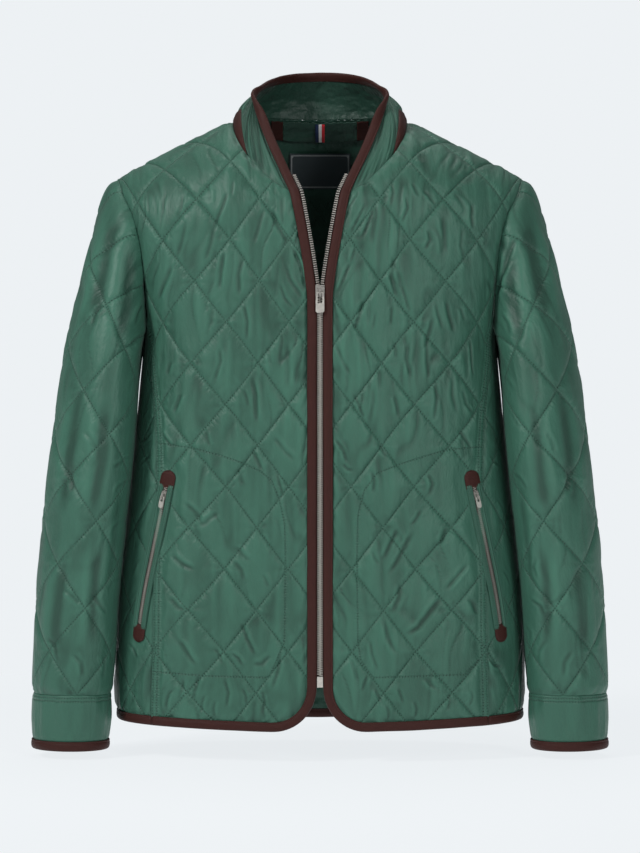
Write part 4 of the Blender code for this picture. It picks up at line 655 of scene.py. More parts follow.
def fill(loop, wide, tall, base_u, base_v, rings=(3.5 * MM,), grain=12):
    """Triangles over an outline, with points on a lattice that follows the quilting diagonals."""
    rim = np.vstack([loop, loop[:1]])
    extra = [inset(loop, r) for r in rings]
    clear = (max(rings) if rings else 0) + 0.35 * min(wide, tall)
    lo = loop.min(axis=0)
    hi = loop.max(axis=0)
    i = np.arange(math.floor((lo[0] - base_u) / wide), math.ceil((hi[0] - base_u) / wide) + 1)
    j = np.arange(math.floor((lo[1] - base_v) / tall), math.ceil((hi[1] - base_v) / tall) + 1)
    ii, jj = (k.ravel() for k in np.meshgrid(i, j, indexing="ij"))
    even = (ii + jj) % 2 == 0
    ii, jj = ii[even], jj[even]
    u, v = base_u + ii * wide, base_v + jj * tall
    good = inside(loop, u, v)
    good[good] = distance(rim, u[good], v[good]) > clear
    ii, jj, u, v = ii[good], jj[good], u[good], v[good]
    first = len(loop) + sum(len(e) for e in extra)
    index = {(int(a), int(b)): first + k for k, (a, b) in enumerate(zip(ii, jj))}
    edges = [(k, (k + 1) % len(loop)) for k in range(len(loop))]
    for (a, b), k in index.items():
        if (a + b) % grain == 0 and (a + 1, b - 1) in index:
            edges.append((k, index[(a + 1, b - 1)]))
        if (a - b) % grain == 0 and (a + 1, b + 1) in index:
            edges.append((k, index[(a + 1, b + 1)]))
    pts = np.vstack([loop] + extra + [np.column_stack([u, v])])
    out, _, tris, _, _, _ = delaunay_2d_cdt([Vector(p) for p in pts], edges, [], 0, 1e-7, True)
    out = np.array([tuple(p) for p in out])
    tris = np.array([tuple(t) for t in tris])
    a, b, c = out[tris[:, 0]], out[tris[:, 1]], out[tris[:, 2]]
    area = (b[:, 0] - a[:, 0]) * (c[:, 1] - a[:, 1]) - (b[:, 1] - a[:, 1]) * (c[:, 0] - a[:, 0])
    middle = (a + b + c) / 3
    return out, tris[(np.abs(area) > 1e-9) & inside(loop, middle[:, 0], middle[:, 1])]

FINE_LEVELS = 2

def normals(at, u, v, flip):
    e = 1.0 * MM
    n = unit(np.cross(at(u + e, v) - at(u - e, v), at(u, v + e) - at(u, v - e)))
    return -n if flip else n

def seam_ways():
    """Points along the neck and armhole seams with the mean outward direction of the two pieces there."""
    body = np.vstack([normals(torso_back, *NECK_B.T, True), normals(torso, *NECK_F[1:].T, False)])
    stand = normals(collar, NECK_RUN, NECK_RUN * 0 + 2 * MM, True)
    key = LOOP_ANGLE * 0 + 5 * MM
    turn = sleeve_point(LOOP_ANGLE + 0.03, key) - sleeve_point(LOOP_ANGLE - 0.03, key)
    along = sleeve_point(LOOP_ANGLE, key + 3 * MM) - sleeve_point(LOOP_ANGLE, key - 3 * MM)
    arm = unit(np.cross(turn, along))
    arm *= np.sign(np.sum(arm * (LOOP_POS - LOOP_POS.mean(axis=0)), axis=1))[:, None]
    front, back, near, far = (normals(at, rows[:, 0], rows[:, 1] - 2 * MM, at is torso_back) for at, rows in (
        (torso, ARM_FRONT), (torso_back, ARM_BACK), (torso, ARM_UNDER[1:]), (torso, behind(ARM_UNDER[1:]))))
    side = np.vstack([np.vstack([back, far])[::-1], front[1:], near])
    good = np.sum(side * arm, axis=1) > -0.3
    return np.vstack([NECK_POS, LOOP_POS[good]]), np.vstack([unit(body + stand), unit(side + arm)[good]])

SEAM_POINTS, SEAM_WAYS = seam_ways()

def lean(place, n, away):
    """Turns the normals near a shared seam towards the direction that both pieces share."""
    sign = np.where(place[:, :1] >= 0, 1.0, -1.0) * np.array([[1.0, 0, 0]]) + np.array([[0, 1.0, 1.0]])
    out = n.copy()
    near = np.where(away < 9 * MM)[0]
    for part in np.array_split(near, max(len(near) // 4000, 1)):
        gap = np.linalg.norm((place[part] * sign[part])[:, None] - SEAM_POINTS[None], axis=2)
        best = np.argmin(gap, axis=1)
        w = np.exp(-(gap[np.arange(len(part)), best] / (5 * MM)) ** 2)[:, None]
        out[part] = unit(n[part] * (1 - w) + SEAM_WAYS[best] * sign[part] * w)
    return out

def store(mesh, name, values):
    """Writes one vector for each point of a mesh."""
    mesh.attributes.new(name, "FLOAT_VECTOR", "POINT").data.foreach_set(
        "vector", np.asarray(values, np.float32).ravel())

def add_mesh(name, verts, faces, mats, pattern=None, smooth=True, face_mats=None):
    mesh = bpy.data.meshes.new(name)
    mesh.from_pydata([tuple(p) for p in verts], [], [tuple(int(i) for i in f) for f in faces])
    obj = bpy.data.objects.new(name, mesh)
    bpy.context.scene.collection.objects.link(obj)
    for mat in mats:
        mesh.materials.append(mat)
    if face_mats is not None:
        mesh.polygons.foreach_set("material_index", np.asarray(face_mats, np.int32))
    if smooth:
        mesh.polygons.foreach_set("use_smooth", np.ones(len(mesh.polygons), bool))
    if pattern is not None:
        mesh.attributes.new("pattern", "FLOAT_VECTOR", "POINT").data.foreach_set(
            "vector", np.asarray(pattern, np.float32).ravel())
    mesh.update()
    return obj

def dress(obj, nodes, body="jacket"):
    """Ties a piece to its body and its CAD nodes."""
    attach(obj, body)
    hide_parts(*nodes)
    return obj

def trace(obj, name, line):
    """Stores each point's distance to a line of the pattern and its place along it, for a row of stitches."""
    flat = np.zeros(len(obj.data.vertices) * 3, np.float32)
    obj.data.attributes["pattern"].data.foreach_get("vector", flat)
    flat = flat.reshape(-1, 3)
    d, side, run, _ = follow(line, np.abs(flat[:, 0]), flat[:, 1])
    store(obj.data, name, np.column_stack([d * side, run, 0 * d]))

def cut(loop, scale=1.0):
    """Flat width, length and area of an outline."""
    loop = loop * scale
    x, y = loop.T
    wide, tall = (float(k) for k in loop.max(axis=0) - loop.min(axis=0))
    return dict(flat=(wide, tall), area=float(abs(np.sum(x * np.roll(y, -1) - np.roll(x, -1) * y)) / 2))

def cloth(name, loop, at, height, mats, cell, base=(0, 0), flip=False, wall=WALL, drop=1.0 * MM, roll=2.6 * MM,
          levels=None, rings=(3.5 * MM,), mirror=False, lift=0.0, moved=None, grain=12):
    """Closed cloth shell: shaped outer face, plain inner face, the outline rolled into the seam."""
    levels = FINE_LEVELS if levels is None else levels
    points, tris = fill(loop, cell[0] / grain, cell[1] / grain, base[0], base[1], rings, grain)
    for _ in range(levels):
        coarse_tris = tris
        points, tris, middle = split(points, tris)
    edges = np.vstack([coarse_tris[:, [0, 1]], coarse_tris[:, [1, 2]], coarse_tris[:, [2, 0]]])
    _, first, count = np.unique(np.sort(edges, axis=1), axis=0, return_index=True, return_counts=True)
    rim_edges = edges[first[count == 1]]
    rim_middle = {(int(a), int(b)): middle[(int(min(a, b)), int(max(a, b)))] for a, b in rim_edges}
    u, v = points.T
    line = np.vstack([loop, loop[:1]])
    away = distance(line, u, v)
    if flip != mirror:
        tris = tris[:, ::-1]
        coarse_tris = coarse_tris[:, ::-1]
        rim_middle = {(b, a): m for (a, b), m in rim_middle.items()}
    place = at(u, v)
    n = lean(place, normals(at, u, v, flip), away)
    puff, marks = height(u, v, away)
    high = puff + marks - drop * np.exp(-(away / roll) ** 2)
    outer = place + n * (lift + high)[:, None]
    if moved is not None:
        outer = outer + moved(u, v, place)
    # painted shade: how deep each point lies in a crease, used later to darken the colour in troughs and lighten it on
    # ridges (painted highlight)
    painted_crease_shade = np.clip(-marks / (1.3 * MM), -1, 1)
    inner_of = {}
    inner_faces = []
    for a, b, c in coarse_tris:
        face = []
        for p, q in ((a, b), (b, c), (c, a)):
            face.append(int(p))
            if (int(p), int(q)) in rim_middle:
                face.append(rim_middle[(int(p), int(q))])
        inner_faces.append(face)
    used = sorted({k for f in inner_faces for k in f})
    for k in used:
        inner_of[k] = len(outer) + len(inner_of)
    inner = place[used] + n[used] * (lift - wall)
    if moved is not None:
        inner = inner + moved(u[used], v[used], place[used])
    faces = [tuple(t) for t in tris]
    for (a, b), m in rim_middle.items():
        for p, q in ((a, m), (m, b)):
            faces.append((q, p, inner_of[p], inner_of[q]))
    faces += [tuple(inner_of[k] for k in reversed(f)) for f in inner_faces]
    verts = np.vstack([outer, inner])
    if mirror:
        verts[:, 0] *= -1
    sign = -1 if mirror else 1
    pattern = np.column_stack([sign * u, v, away])
    pattern = np.vstack([pattern, pattern[used] + np.array([0, 0, 1.0])])
    obj = add_mesh(name, verts, faces, mats, pattern)
    values = np.concatenate([painted_crease_shade, np.zeros(len(used))]).astype(np.float32)
    obj.data.attributes.new("painted_crease_shade", "FLOAT", "POINT").data.foreach_set("value", values)
    return obj

# ---------------- relief of the quilting ----------------
def quilt(u, v, wide, tall, base, seed, full=2.5 * MM, streaks=1.0):
    """Flat padded diamonds over the stitch lines, and the creases on them: upright streaks and small gathers."""
    p = u / wide + (v - base) / tall
    q = u / wide - (v - base) / tall
    spacing = wide * tall / math.hypot(wide, tall)
    side = math.hypot(wide, tall) / 2
    dp = np.abs(p - np.round(p)) * spacing
    dq = np.abs(q - np.round(q)) * spacing
    rise = (1 - np.exp(-dp / (2.6 * MM))) * (1 - np.exp(-dq / (2.6 * MM)))
    cell = hashed(np.floor(p), np.floor(q), seed)
    puff = full * rise * (0.86 + 0.28 * cell)
    drop = np.minimum(1 - (p - np.floor(p)), q - np.floor(q)) * tall
    bend = noise(u / (30 * MM), v / (45 * MM), seed + 3)
    puff += 0.9 * MM * rise * bend
    cut = noise(u / (13 * MM) + 1.1 * bend + 7 * cell, v / (95 * MM), seed + 5)
    fine = noise(u / (5.0 * MM) + 0.7 * bend, v / (60 * MM), seed + 6)
    patchy = ease(0.5 + 1.6 * noise(u / (26 * MM) + 3 * cell, v / (38 * MM), seed + 7))
    crack = -np.exp(-(cut / 0.13) ** 2) * (0.35 + 0.65 * patchy)
    marks = streaks * MM * (0.9 * cut + 1.7 * crack + 0.8 * fine) * ease(drop / (5 * MM)) * (
        0.35 + 0.65 * np.exp(-drop / (55 * MM)))
    for away, run, line in ((dp, q * side, np.round(p)), (dq, p * side, np.round(q))):
        near = np.exp(-away / (5 * MM)) * (1 - np.exp(-away / (1.0 * MM)))
        marks += 0.85 * MM * near * noise(run / (4.2 * MM), line * 3.7 + away / (20 * MM), seed + 9)
    cp, cq = p - np.round(p), q - np.round(q)
    cu, cv = (cp + cq) / 2 * wide, (cp - cq) / 2 * tall
    r = np.hypot(cu, cv)
    turn = np.arctan2(cv, cu)
    spokes = np.cos(7 * turn + 5 * hashed(np.round(p), np.round(q), seed + 2))
    return puff, rise * (marks + 0.6 * MM * spokes * np.exp(-r / (10 * MM)))

CREASE_DEEP, CREASE_WIDE = 1.15, 0.68   # laid for each millimetre of depth and of width in the crease tables

def laid(table, to_line):
    """Crease lines in pattern coordinates."""
    return [(depth * MM, CREASE_WIDE * wide * MM, to_line(np.array(spots, float).reshape(-1, 2) * MM))
            for depth, wide, *spots in table]

def creases(lines, u, v, strength=1.0):
    """Soft troughs with raised lips, fading out at both ends."""
    total = np.zeros(len(u))
    for depth, wide, line in lines:
        lo, hi = line.min(axis=0) - 4 * wide, line.max(axis=0) + 4 * wide
        near = np.where((u > lo[0]) & (u < hi[0]) & (v > lo[1]) & (v < hi[1]))[0]
        if not len(near):
            continue
        d, side, run, length = follow(line, u[near], v[near])
        fade = ease(run / length / 0.25) * ease((1 - run / length) / 0.25)
        lip = np.exp(-((d - 1.8 * wide) / wide) ** 2) * (0.55 + 0.25 * side)
        total[near] += CREASE_DEEP * depth * strength * fade * (lip - np.exp(-(d / wide) ** 2))
    return total

def gathers(away, run, reach, pitch, depth, seed):
    """Short creases running in from a bound or stitched edge."""
    return depth * noise(run / pitch, away / (3 * reach), seed) * np.exp(-away / reach) * ease(away / (2 * MM))

def body_line(spots):
    return to_quilt([pattern_at(x, z) for x, z in spots])

def arm_line(spots):
    turns, keys = np.meshgrid(np.linspace(0.02, math.pi - 0.02, 121), np.linspace(0, KEY_CUFF, 321), indexing="ij")
    grid = sleeve_point(turns, keys)
    rises = grid_value(RISE, turns, keys)[0]
    found = []
    for x, z in spots:
        near = np.argmin((grid[..., 0] - x) ** 2 + (grid[..., 2] - z) ** 2)
        v = rises.ravel()[near]
        found.append((cloth_across(turns.ravel()[near], v), v))
    return np.array(found)

POCKET_LINE = np.array([pattern_at(*POCKET_TOP), pattern_at(*POCKET_END)])
POCKET_CLOTH_LINE = to_quilt(POCKET_LINE)
RIDGE = 7.5 * MM                # width of the double-stitched side seam

def torso_height(back, ridge=None, seed=1.0, lines=()):
    lines = laid(lines, body_line)

    def height(s, v, away):
        z = PATTERN_BASE + v
        chest = ease((z + 420 * MM) / (160 * MM)) * ease((150 * MM - np.abs(s)) / (120 * MM))
        puff, marks = quilt(s, v, DIAMOND_WIDE, DIAMOND_TALL, DIAMOND_BASE - PATTERN_BASE, seed,
                            streaks=0.75 + 0.6 * chest)
        puff *= 0.35 + 0.65 * ease(away / (9 * MM))
        marks += creases(lines, s, v) + gathers(away, s + 0.6 * v, 9 * MM, 5.2 * MM, 0.9 * MM, seed + 11)
        if not back:
            flat = ease((distance(POCKET_CLOTH_LINE, np.abs(s), v) - 11 * MM) / (14 * MM))
            under = ease((v - 0.07) / 0.08)
            side = np.abs(np.abs(from_quilt(s, v)) - QUARTER)
            flat = flat * (1 - 0.8 * under * (1 - ease((side - 40 * MM) / (60 * MM))))
            puff, marks = puff * flat, marks * flat
        if ridge is not None:
            d = distance(ridge, s, v)
            clear = ease((d - RIDGE) / (7 * MM))
            band = 1.6 * MM * ease((RIDGE - d) / (1.6 * MM) + 0.5) + 1.1 * MM * np.exp(-(d / (1.8 * MM)) ** 2)
            puff, marks = puff * clear + band, marks * clear
        return puff, marks
    return height

def sleeve_height(seed, lines):
    lines = laid(lines, arm_line)

    def height(s, v, away):
        puff, marks = quilt(s, v, SLEEVE_DIAMOND_WIDE, SLEEVE_DIAMOND_TALL, SLEEVE_DIAMOND_BASE, seed, streaks=0.6)
        puff *= 0.3 + 0.7 * ease(away / (10 * MM))
        marks += creases(lines, s, v) + gathers(away, s + 0.6 * v, 10 * MM, 6 * MM, 0.9 * MM, seed + 11)
        under = ease((np.abs(s / SLEEVE_SPAN + twist(v)) - 0.30) / 0.16)
        return puff * (1 - 0.8 * under) + 1.3 * MM * under * ease(away / (10 * MM)), marks * (1 - 0.8 * under)
    return height

def collar_height(u, v, away):
    """Soft upright folds of the collar, uneven, gathered towards the neck seam."""
    sway = 6 * MM * noise(u / (40 * MM), v / (30 * MM), 4.0)
    wide = noise((u + sway) / (17 * MM), v / (70 * MM), 6.0)
    fine = noise(u / (6 * MM), v / (50 * MM), 2.0)
    folds = MM * (1.9 * wide - 1.5 * np.exp(-(wide / 0.16) ** 2) + 0.8 * fine)
    low = 2.2 * MM * noise((u + 0.4 * v) / (4.5 * MM), v / (24 * MM), 3.0) * np.exp(-v / (15 * MM))
    return 0.0 * u, (folds + low) * ease(away / (6 * MM))

def plain_height(u, v, away):
    return 0.0 * u, 0.25 * MM * noise(u / (9 * MM), v / (9 * MM), 5.0) * ease(away / (5 * MM))

# ---------------- materials ----------------
class Graph:
    """Node material under construction; lengths on its sockets are in millimetres."""

    def __init__(self, name):
        self.mat = bpy.data.materials.new(name)
        self.mat.use_nodes = True
        self.tree = self.mat.node_tree
        self.shader = self.tree.nodes["Principled BSDF"]

    def put(self, socket, value):
        if isinstance(value, bpy.types.NodeSocket):
            self.tree.links.new(value, socket)
        else:
            socket.default_value = value

    def math(self, kind, a, b=0.0, c=0.0):
        node = self.tree.nodes.new("ShaderNodeMath")
        node.operation = kind
        for socket, value in zip(node.inputs, (a, b, c)):
            self.put(socket, value)
        return node.outputs[0]

    def times(self, *values):
        out = values[0]
        for value in values[1:]:
            out = self.math("MULTIPLY", out, value)
        return out

    def plus(self, *values):
        out = values[0]
        for value in values[1:]:
            out = self.math("ADD", out, value)
        return out

    def attribute(self, name):
        """Three coordinates stored on the mesh, in millimetres."""
        node = self.tree.nodes.new("ShaderNodeAttribute")
        node.attribute_name = name
        parts = self.tree.nodes.new("ShaderNodeSeparateXYZ")
        self.put(parts.inputs[0], node.outputs["Vector"])
        return [self.math("MULTIPLY", parts.outputs[k], 1000.0) for k in range(3)]

    def scalar(self, name):
        node = self.tree.nodes.new("ShaderNodeAttribute")
        node.attribute_name = name
        return node.outputs["Fac"]

    def noise(self, x, y, z=0.0, detail=2.0, rough=0.5):
        """Noise around 0, roughly from -1 to 1."""
        place = self.tree.nodes.new("ShaderNodeCombineXYZ")
        for socket, value in zip(place.inputs, (x, y, z)):
            self.put(socket, value)
        node = self.tree.nodes.new("ShaderNodeTexNoise")
        node.inputs["Scale"].default_value = 1.0
        node.inputs["Detail"].default_value = detail
        node.inputs["Roughness"].default_value = rough
        self.put(node.inputs["Vector"], place.outputs[0])
        return self.math("MULTIPLY_ADD", node.outputs["Fac"], 4.0, -2.0)

    def grain(self, u, v, across, along, z=0.0, detail=2.0, rough=0.5):
        """Noise over the pattern, with so many waves to the millimetre each way."""
        return self.noise(self.times(u, across), self.times(v, along), z, detail, rough)

    def bell(self, x, width):
        """1 at x = 0, falling off over a width."""
        t = self.math("DIVIDE", x, width)
        return self.math("EXPONENT", self.times(t, t, -1.0))

    def fade(self, x, width):
        """1 at x = 0, decaying slowly."""
        return self.math("EXPONENT", self.math("DIVIDE", x, -width))

    def step(self, x, low, high):
        node = self.tree.nodes.new("ShaderNodeMapRange")
        node.interpolation_type = "SMOOTHSTEP"
        node.inputs["From Min"].default_value = low
        node.inputs["From Max"].default_value = high
        self.put(node.inputs["Value"], x)
        return node.outputs["Result"]

    def mix(self, share, a, b):
        node = self.tree.nodes.new("ShaderNodeMix")
        node.data_type = "RGBA"
        self.put(node.inputs["Factor"], share)
        for socket, value in ((node.inputs[6], a), (node.inputs[7], b)):
            self.put(socket, value if isinstance(value, bpy.types.NodeSocket) else (*value, 1))
        return node.outputs[2]

    def tone(self, colour, factor):
        """Colour times a factor."""
        node = self.tree.nodes.new("ShaderNodeVectorMath")
        node.operation = "SCALE"
        self.put(node.inputs[0], colour)
        self.put(node.inputs["Scale"], factor)
        return node.outputs[0]

    def finish(self, colour, rough, height=None, metallic=0.0, sheen=0.0, specular=0.5):
        self.put(self.shader.inputs["Base Color"],
                 colour if isinstance(colour, bpy.types.NodeSocket) else (*colour, 1))
        self.put(self.shader.inputs["Roughness"], rough)
        self.put(self.shader.inputs["Metallic"], metallic)
        self.shader.inputs["Sheen Weight"].default_value = sheen
        self.shader.inputs["Sheen Roughness"].default_value = 0.4
        self.shader.inputs["Specular IOR Level"].default_value = specular
        if height is not None:
            bump = self.tree.nodes.new("ShaderNodeBump")
            bump.inputs["Distance"].default_value = MM
            self.put(bump.inputs["Height"], height)
            self.put(self.shader.inputs["Normal"], bump.outputs[0])
        return self.mat

STITCH_PITCH = 3.2              # millimetres from one stitch to the next
STITCH_HALF = 0.42              # half width of the thread

def stitch_row(g, beside, run, pitch=STITCH_PITCH, half=STITCH_HALF):
    """Thread and needle-hole masks of a row of stitches at beside = 0."""
    share = g.math("FRACT", g.math("DIVIDE", run, pitch))
    along = g.math("ABSOLUTE", g.math("SUBTRACT", share, 0.5))
    near = g.step(g.math("ABSOLUTE", beside), half * 1.5, half * 0.6)
    thread = g.times(near, g.step(along, 0.40, 0.30))
    hole = g.times(g.step(g.math("ABSOLUTE", beside), half * 1.9, half * 0.5), g.step(along, 0.34, 0.44))
    return thread, hole

def most(g, values):
    out = values[0]
    for value in values[1:]:
        out = g.math("MAXIMUM", out, value)
    return out

def nylon(name, colour, lattice=None, rows=(), traced=(), fine=1.0):
    """Woven nylon: weave, small wrinkles, stitches of the quilting and further stitch rows.

    lattice is (wide, tall, base) of the quilting; rows lists (pattern axis, place, run axis);
    traced lists (attribute, offset) of further lines; the inner face is a little darker, as painted shade.
    """
    g = Graph(name)
    u, v, w = g.attribute("pattern")
    lines = []
    puckers = []
    if lattice:
        wide, tall, base = (x / MM for x in lattice)
        spacing = wide * tall / math.hypot(wide, tall)
        side = math.hypot(wide, tall) / 2
        a = g.math("DIVIDE", u, wide)
        b = g.math("DIVIDE", g.math("SUBTRACT", v, base), tall)
        for p, q in ((g.plus(a, b), g.math("SUBTRACT", a, b)), (g.math("SUBTRACT", a, b), g.plus(a, b))):
            beside = g.times(g.math("SUBTRACT", p, g.math("ROUND", p)), spacing)
            lines.append((beside, g.times(q, side)))
            near = g.fade(g.math("ABSOLUTE", beside), 4.5)
            puckers.append(g.times(near, g.noise(g.times(q, side / 2.3), g.times(beside, 0.10), g.times(p, 3.1), 1.0)))
    for axis, place, run in rows:
        lines.append((g.math("SUBTRACT", (u, v, w)[axis], place), (u, v, w)[run]))
    for attribute, offset in traced:
        d, run, _ = g.attribute(attribute)
        beside = g.math("SUBTRACT", g.math("ABSOLUTE", d), offset)
        lines.append((beside, run))
        near = g.fade(g.math("ABSOLUTE", beside), 3.5)
        puckers.append(g.times(near, g.noise(g.times(run, 0.5), g.times(beside, 0.1), 5.0, 1.0)))
    masks = [stitch_row(g, *line) for line in lines]
    wrinkle = g.grain(u, v, 0.16, 0.045, 3.0, 3.0, 0.55)
    crinkle = g.grain(u, v, 0.45, 0.20, 7.0, 2.0, 0.6)
    warp = g.math("SINE", g.times(u, 2 * math.pi / 0.62))
    weft = g.math("SINE", g.times(v, 2 * math.pi / 0.62))
    height = g.plus(g.times(wrinkle, 0.26 * fine), g.times(crinkle, 0.07 * fine), g.times(warp, weft, 0.012))
    slub = g.grain(u, v, 1.3, 0.12, 1.0, 1.0)
    soft = g.grain(u, v, 0.018, 0.018, 9.0, 2.0)
    # painted shade: marks the inner face, whose colour is darkened below as if it lay in shadow
    inner = g.step(w, 400.0, 600.0)
    # the wrinkle term lightens wrinkle crests and darkens their troughs: painted light and shade
    tone = g.plus(1.0, g.times(soft, 0.06), g.times(slub, 0.025), g.times(wrinkle, 0.03), g.times(inner, -0.38))
    height = g.plus(height, g.times(inner, g.grain(u, v, 0.045, 0.055, 6.0, 2.0, 0.4), 1.3))
    # painted shade in the crease troughs and painted highlight on their ridges, from the stored crease depth
    painted_crease_shade = g.scalar("painted_crease_shade")
    tone = g.times(tone, g.plus(1.0, g.times(g.math("MAXIMUM", painted_crease_shade, 0.0), -0.46),
                                g.times(g.math("MINIMUM", painted_crease_shade, 0.0), -0.24)))
    if puckers:
        height = g.plus(height, *[g.times(p, 0.42) for p in puckers])
    out_colour = None
    if masks:
        thread = most(g, [m[0] for m in masks])
        hole = most(g, [m[1] for m in masks])
        groove = most(g, [g.bell(line[0], 0.75) for line in lines])
        height = g.plus(height, g.times(groove, -0.55), g.times(thread, 0.30), g.times(hole, -0.30))
        # painted shade: colour darkened along each stitch groove and in the needle holes
        tone = g.times(tone, g.plus(1.0, g.times(groove, -0.34), g.times(hole, -0.30)))
        out_colour = g.mix(g.times(thread, 0.55), g.tone(colour, tone), tuple(min(c * 1.25, 1) for c in colour))
    else:
        out_colour = g.tone(colour, tone)
    rough = g.plus(0.50, g.times(crinkle, 0.03), g.times(wrinkle, 0.03))
    return g.finish(out_colour, rough, height, sheen=0.06, specular=0.34)

def suede(name, colour, rows=()):
    """Soft matt leather: grain, nap, fine stitches; rows lists (pattern axis, place, run axis)."""
    g = Graph(name)
    coords = g.attribute("pattern")
    u, v, _ = coords
    grain = g.grain(u, v, 1.1, 1.1, 2.0, 3.0, 0.6)
    nap = g.grain(u, v, 0.12, 0.30, 4.0, 2.0)
    height = g.plus(g.times(grain, 0.06), g.times(nap, 0.10))
    tone = g.plus(1.0, g.times(nap, 0.10), g.times(grain, 0.05))
    masks = [stitch_row(g, g.math("SUBTRACT", coords[axis], place), coords[run], 2.6, 0.3) for axis, place, run in rows]
    out_colour = g.tone(colour, tone)
    if masks:
        thread = most(g, [m[0] for m in masks])
        hole = most(g, [m[1] for m in masks])
        height = g.plus(height, g.times(thread, 0.15), g.times(hole, -0.2))
        # painted shade: colour darkened in the needle holes
        out_colour = g.mix(g.times(thread, 0.5), g.tone(out_colour, g.plus(1.0, g.times(hole, -0.4))),
                           tuple(c * 1.9 + 0.01 for c in colour))
    return g.finish(out_colour, g.plus(0.62, g.times(grain, 0.04)), height, sheen=0.04, specular=0.22)

def metal(name, colour, rough=0.32):
    """Worn plated metal: fine brushing, small dents and duller patches."""
    g = Graph(name)
    node = g.tree.nodes.new("ShaderNodeTexCoord")
    parts = g.tree.nodes.new("ShaderNodeSeparateXYZ")
    g.put(parts.inputs[0], node.outputs["Object"])
    x, y, z = [g.times(parts.outputs[k], 1000.0) for k in range(3)]
    wear = g.noise(g.times(x, 0.35), g.times(z, 0.35), g.times(y, 0.35), 3.0)
    brush = g.noise(g.times(x, 4.0), g.times(z, 0.8), g.times(y, 4.0), 2.0)
    height = g.plus(g.times(wear, 0.008), g.times(brush, 0.0015))
    return g.finish(g.tone(colour, g.plus(0.95, g.times(wear, 0.10))), g.plus(rough, g.times(wear, 0.08)), height,
                    metallic=0.55)

def woven_tape(name, colour, border=None, stripes=()):
    """Close-woven tape; border is a sewn edge's distance from the outline, stripes are (low, high, colour) across."""
    g = Graph(name)
    u, v, w = g.attribute("pattern")
    rib = g.math("SINE", g.times(u, 2 * math.pi / 0.9))
    cross = g.math("SINE", g.times(v, 2 * math.pi / 0.7))
    fuzz = g.grain(u, v, 0.8, 0.8, 1.0, 2.0)
    height = g.plus(g.times(rib, 0.05), g.times(cross, 0.04), g.times(fuzz, 0.04))
    tone = g.plus(0.95, g.times(rib, cross, 0.06), g.times(fuzz, 0.08))
    shade = g.mix(0.0, colour, colour)
    for low, high, other in stripes:
        share = g.times(g.step(v, low - 0.15, low + 0.15), g.step(v, high + 0.15, high - 0.15))
        shade = g.mix(share, shade, other)
    if border is not None:
        edge = g.math("SUBTRACT", w, g.plus(border, g.times(g.step(w, 400.0, 600.0), 1000.0)))
        thread = g.times(g.bell(edge, 0.7), g.plus(0.7, g.times(rib, 0.3)))
        height = g.plus(height, g.times(thread, 0.2))
        shade = g.mix(g.times(thread, 0.9), shade, (0.60, 0.62, 0.62))
    return g.finish(g.tone(shade, tone), g.plus(0.75, g.times(fuzz, 0.04)), height, sheen=0.15, specular=0.3)

GREEN_DYE = (0.036, 0.116, 0.080)
BROWN_DYE = (0.038, 0.0090, 0.0064)
BODY_LATTICE = (DIAMOND_WIDE, DIAMOND_TALL, DIAMOND_BASE - PATTERN_BASE)
GREEN = nylon("quilted_green", GREEN_DYE, BODY_LATTICE)
FRONT_GREEN = nylon("front_green", GREEN_DYE, BODY_LATTICE,
                    traced=(("bag", 0.0), ("ridge", 1.4), ("ridge", 6.4)))
SLEEVE_GREEN = nylon("sleeve_green", GREEN_DYE,
                     (SLEEVE_DIAMOND_WIDE, SLEEVE_DIAMOND_TALL, SLEEVE_DIAMOND_BASE))
# painted shade: a darker copy of the green, 0.74 of its dye, for the collar as if it stood in shadow
SHADED_COLLAR_GREEN = nylon("plain_green_painted_shade", tuple(0.74 * c for c in GREEN_DYE))
CUFF_STITCH = 3.2 * MM
CUFF = nylon("cuff_green", GREEN_DYE, rows=((1, CUFF_STITCH / MM, 0), (1, 2.2 * CUFF_STITCH / MM, 0)))
WELT_CLOTH = nylon("welt_green", GREEN_DYE, rows=((1, 2.6, 0), (1, 6.6, 0)), fine=0.5)
LINING_CLOTH = nylon("lining_green", tuple(0.85 * c for c in GREEN_DYE))
BROWN = suede("brown_trim", BROWN_DYE, ((1, 2.2, 0), (1, 27.0, 0)))
PLAIN_BROWN = suede("plain_brown", BROWN_DYE)
PATCH = suede("pocket_patch", BROWN_DYE, ((2, 1.5, 1),))
METAL = metal("metal", (0.62, 0.59, 0.54), 0.34)
SLIDER_METAL = metal("slider_metal", (0.40, 0.38, 0.35), 0.30)
TAPE_CLOTH = woven_tape("zip_tape", (0.035, 0.02, 0.017))
NAVY = woven_tape("navy_label", (0.050, 0.066, 0.073), border=2.4)
RIBBON = woven_tape("ribbon", (0.022, 0.040, 0.110),
                    stripes=((4.0, 7.6, (0.95, 0.95, 0.93)), (7.6, 13.0, (0.70, 0.03, 0.04))))

# metal parts whose shape is kept from the solids, with softened edges
for name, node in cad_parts.items():
    if name.startswith(("zip_slider", "zip_pull", "zip_box", "pocket_slider", "pocket_pull")):
        node.data.materials.clear()
        node.data.materials.append(SLIDER_METAL if "slider" in name else METAL)
        edge = node.modifiers.new("softened_edges", "BEVEL")
        edge.width = 0.22 * MM
        edge.segments = 2
        edge.limit_method = "ANGLE"
        edge.harden_normals = True

# ---------------- cloth pieces ----------------
BASE = (0.0, DIAMOND_BASE - PATTERN_BASE)
BODY_CELL = (DIAMOND_WIDE, DIAMOND_TALL)
SLEEVE_CELL = (SLEEVE_DIAMOND_WIDE, SLEEVE_DIAMOND_TALL)
PLAIN_CELL = (96 * MM, 96 * MM)
SIDES = (("left", False), ("right", True))

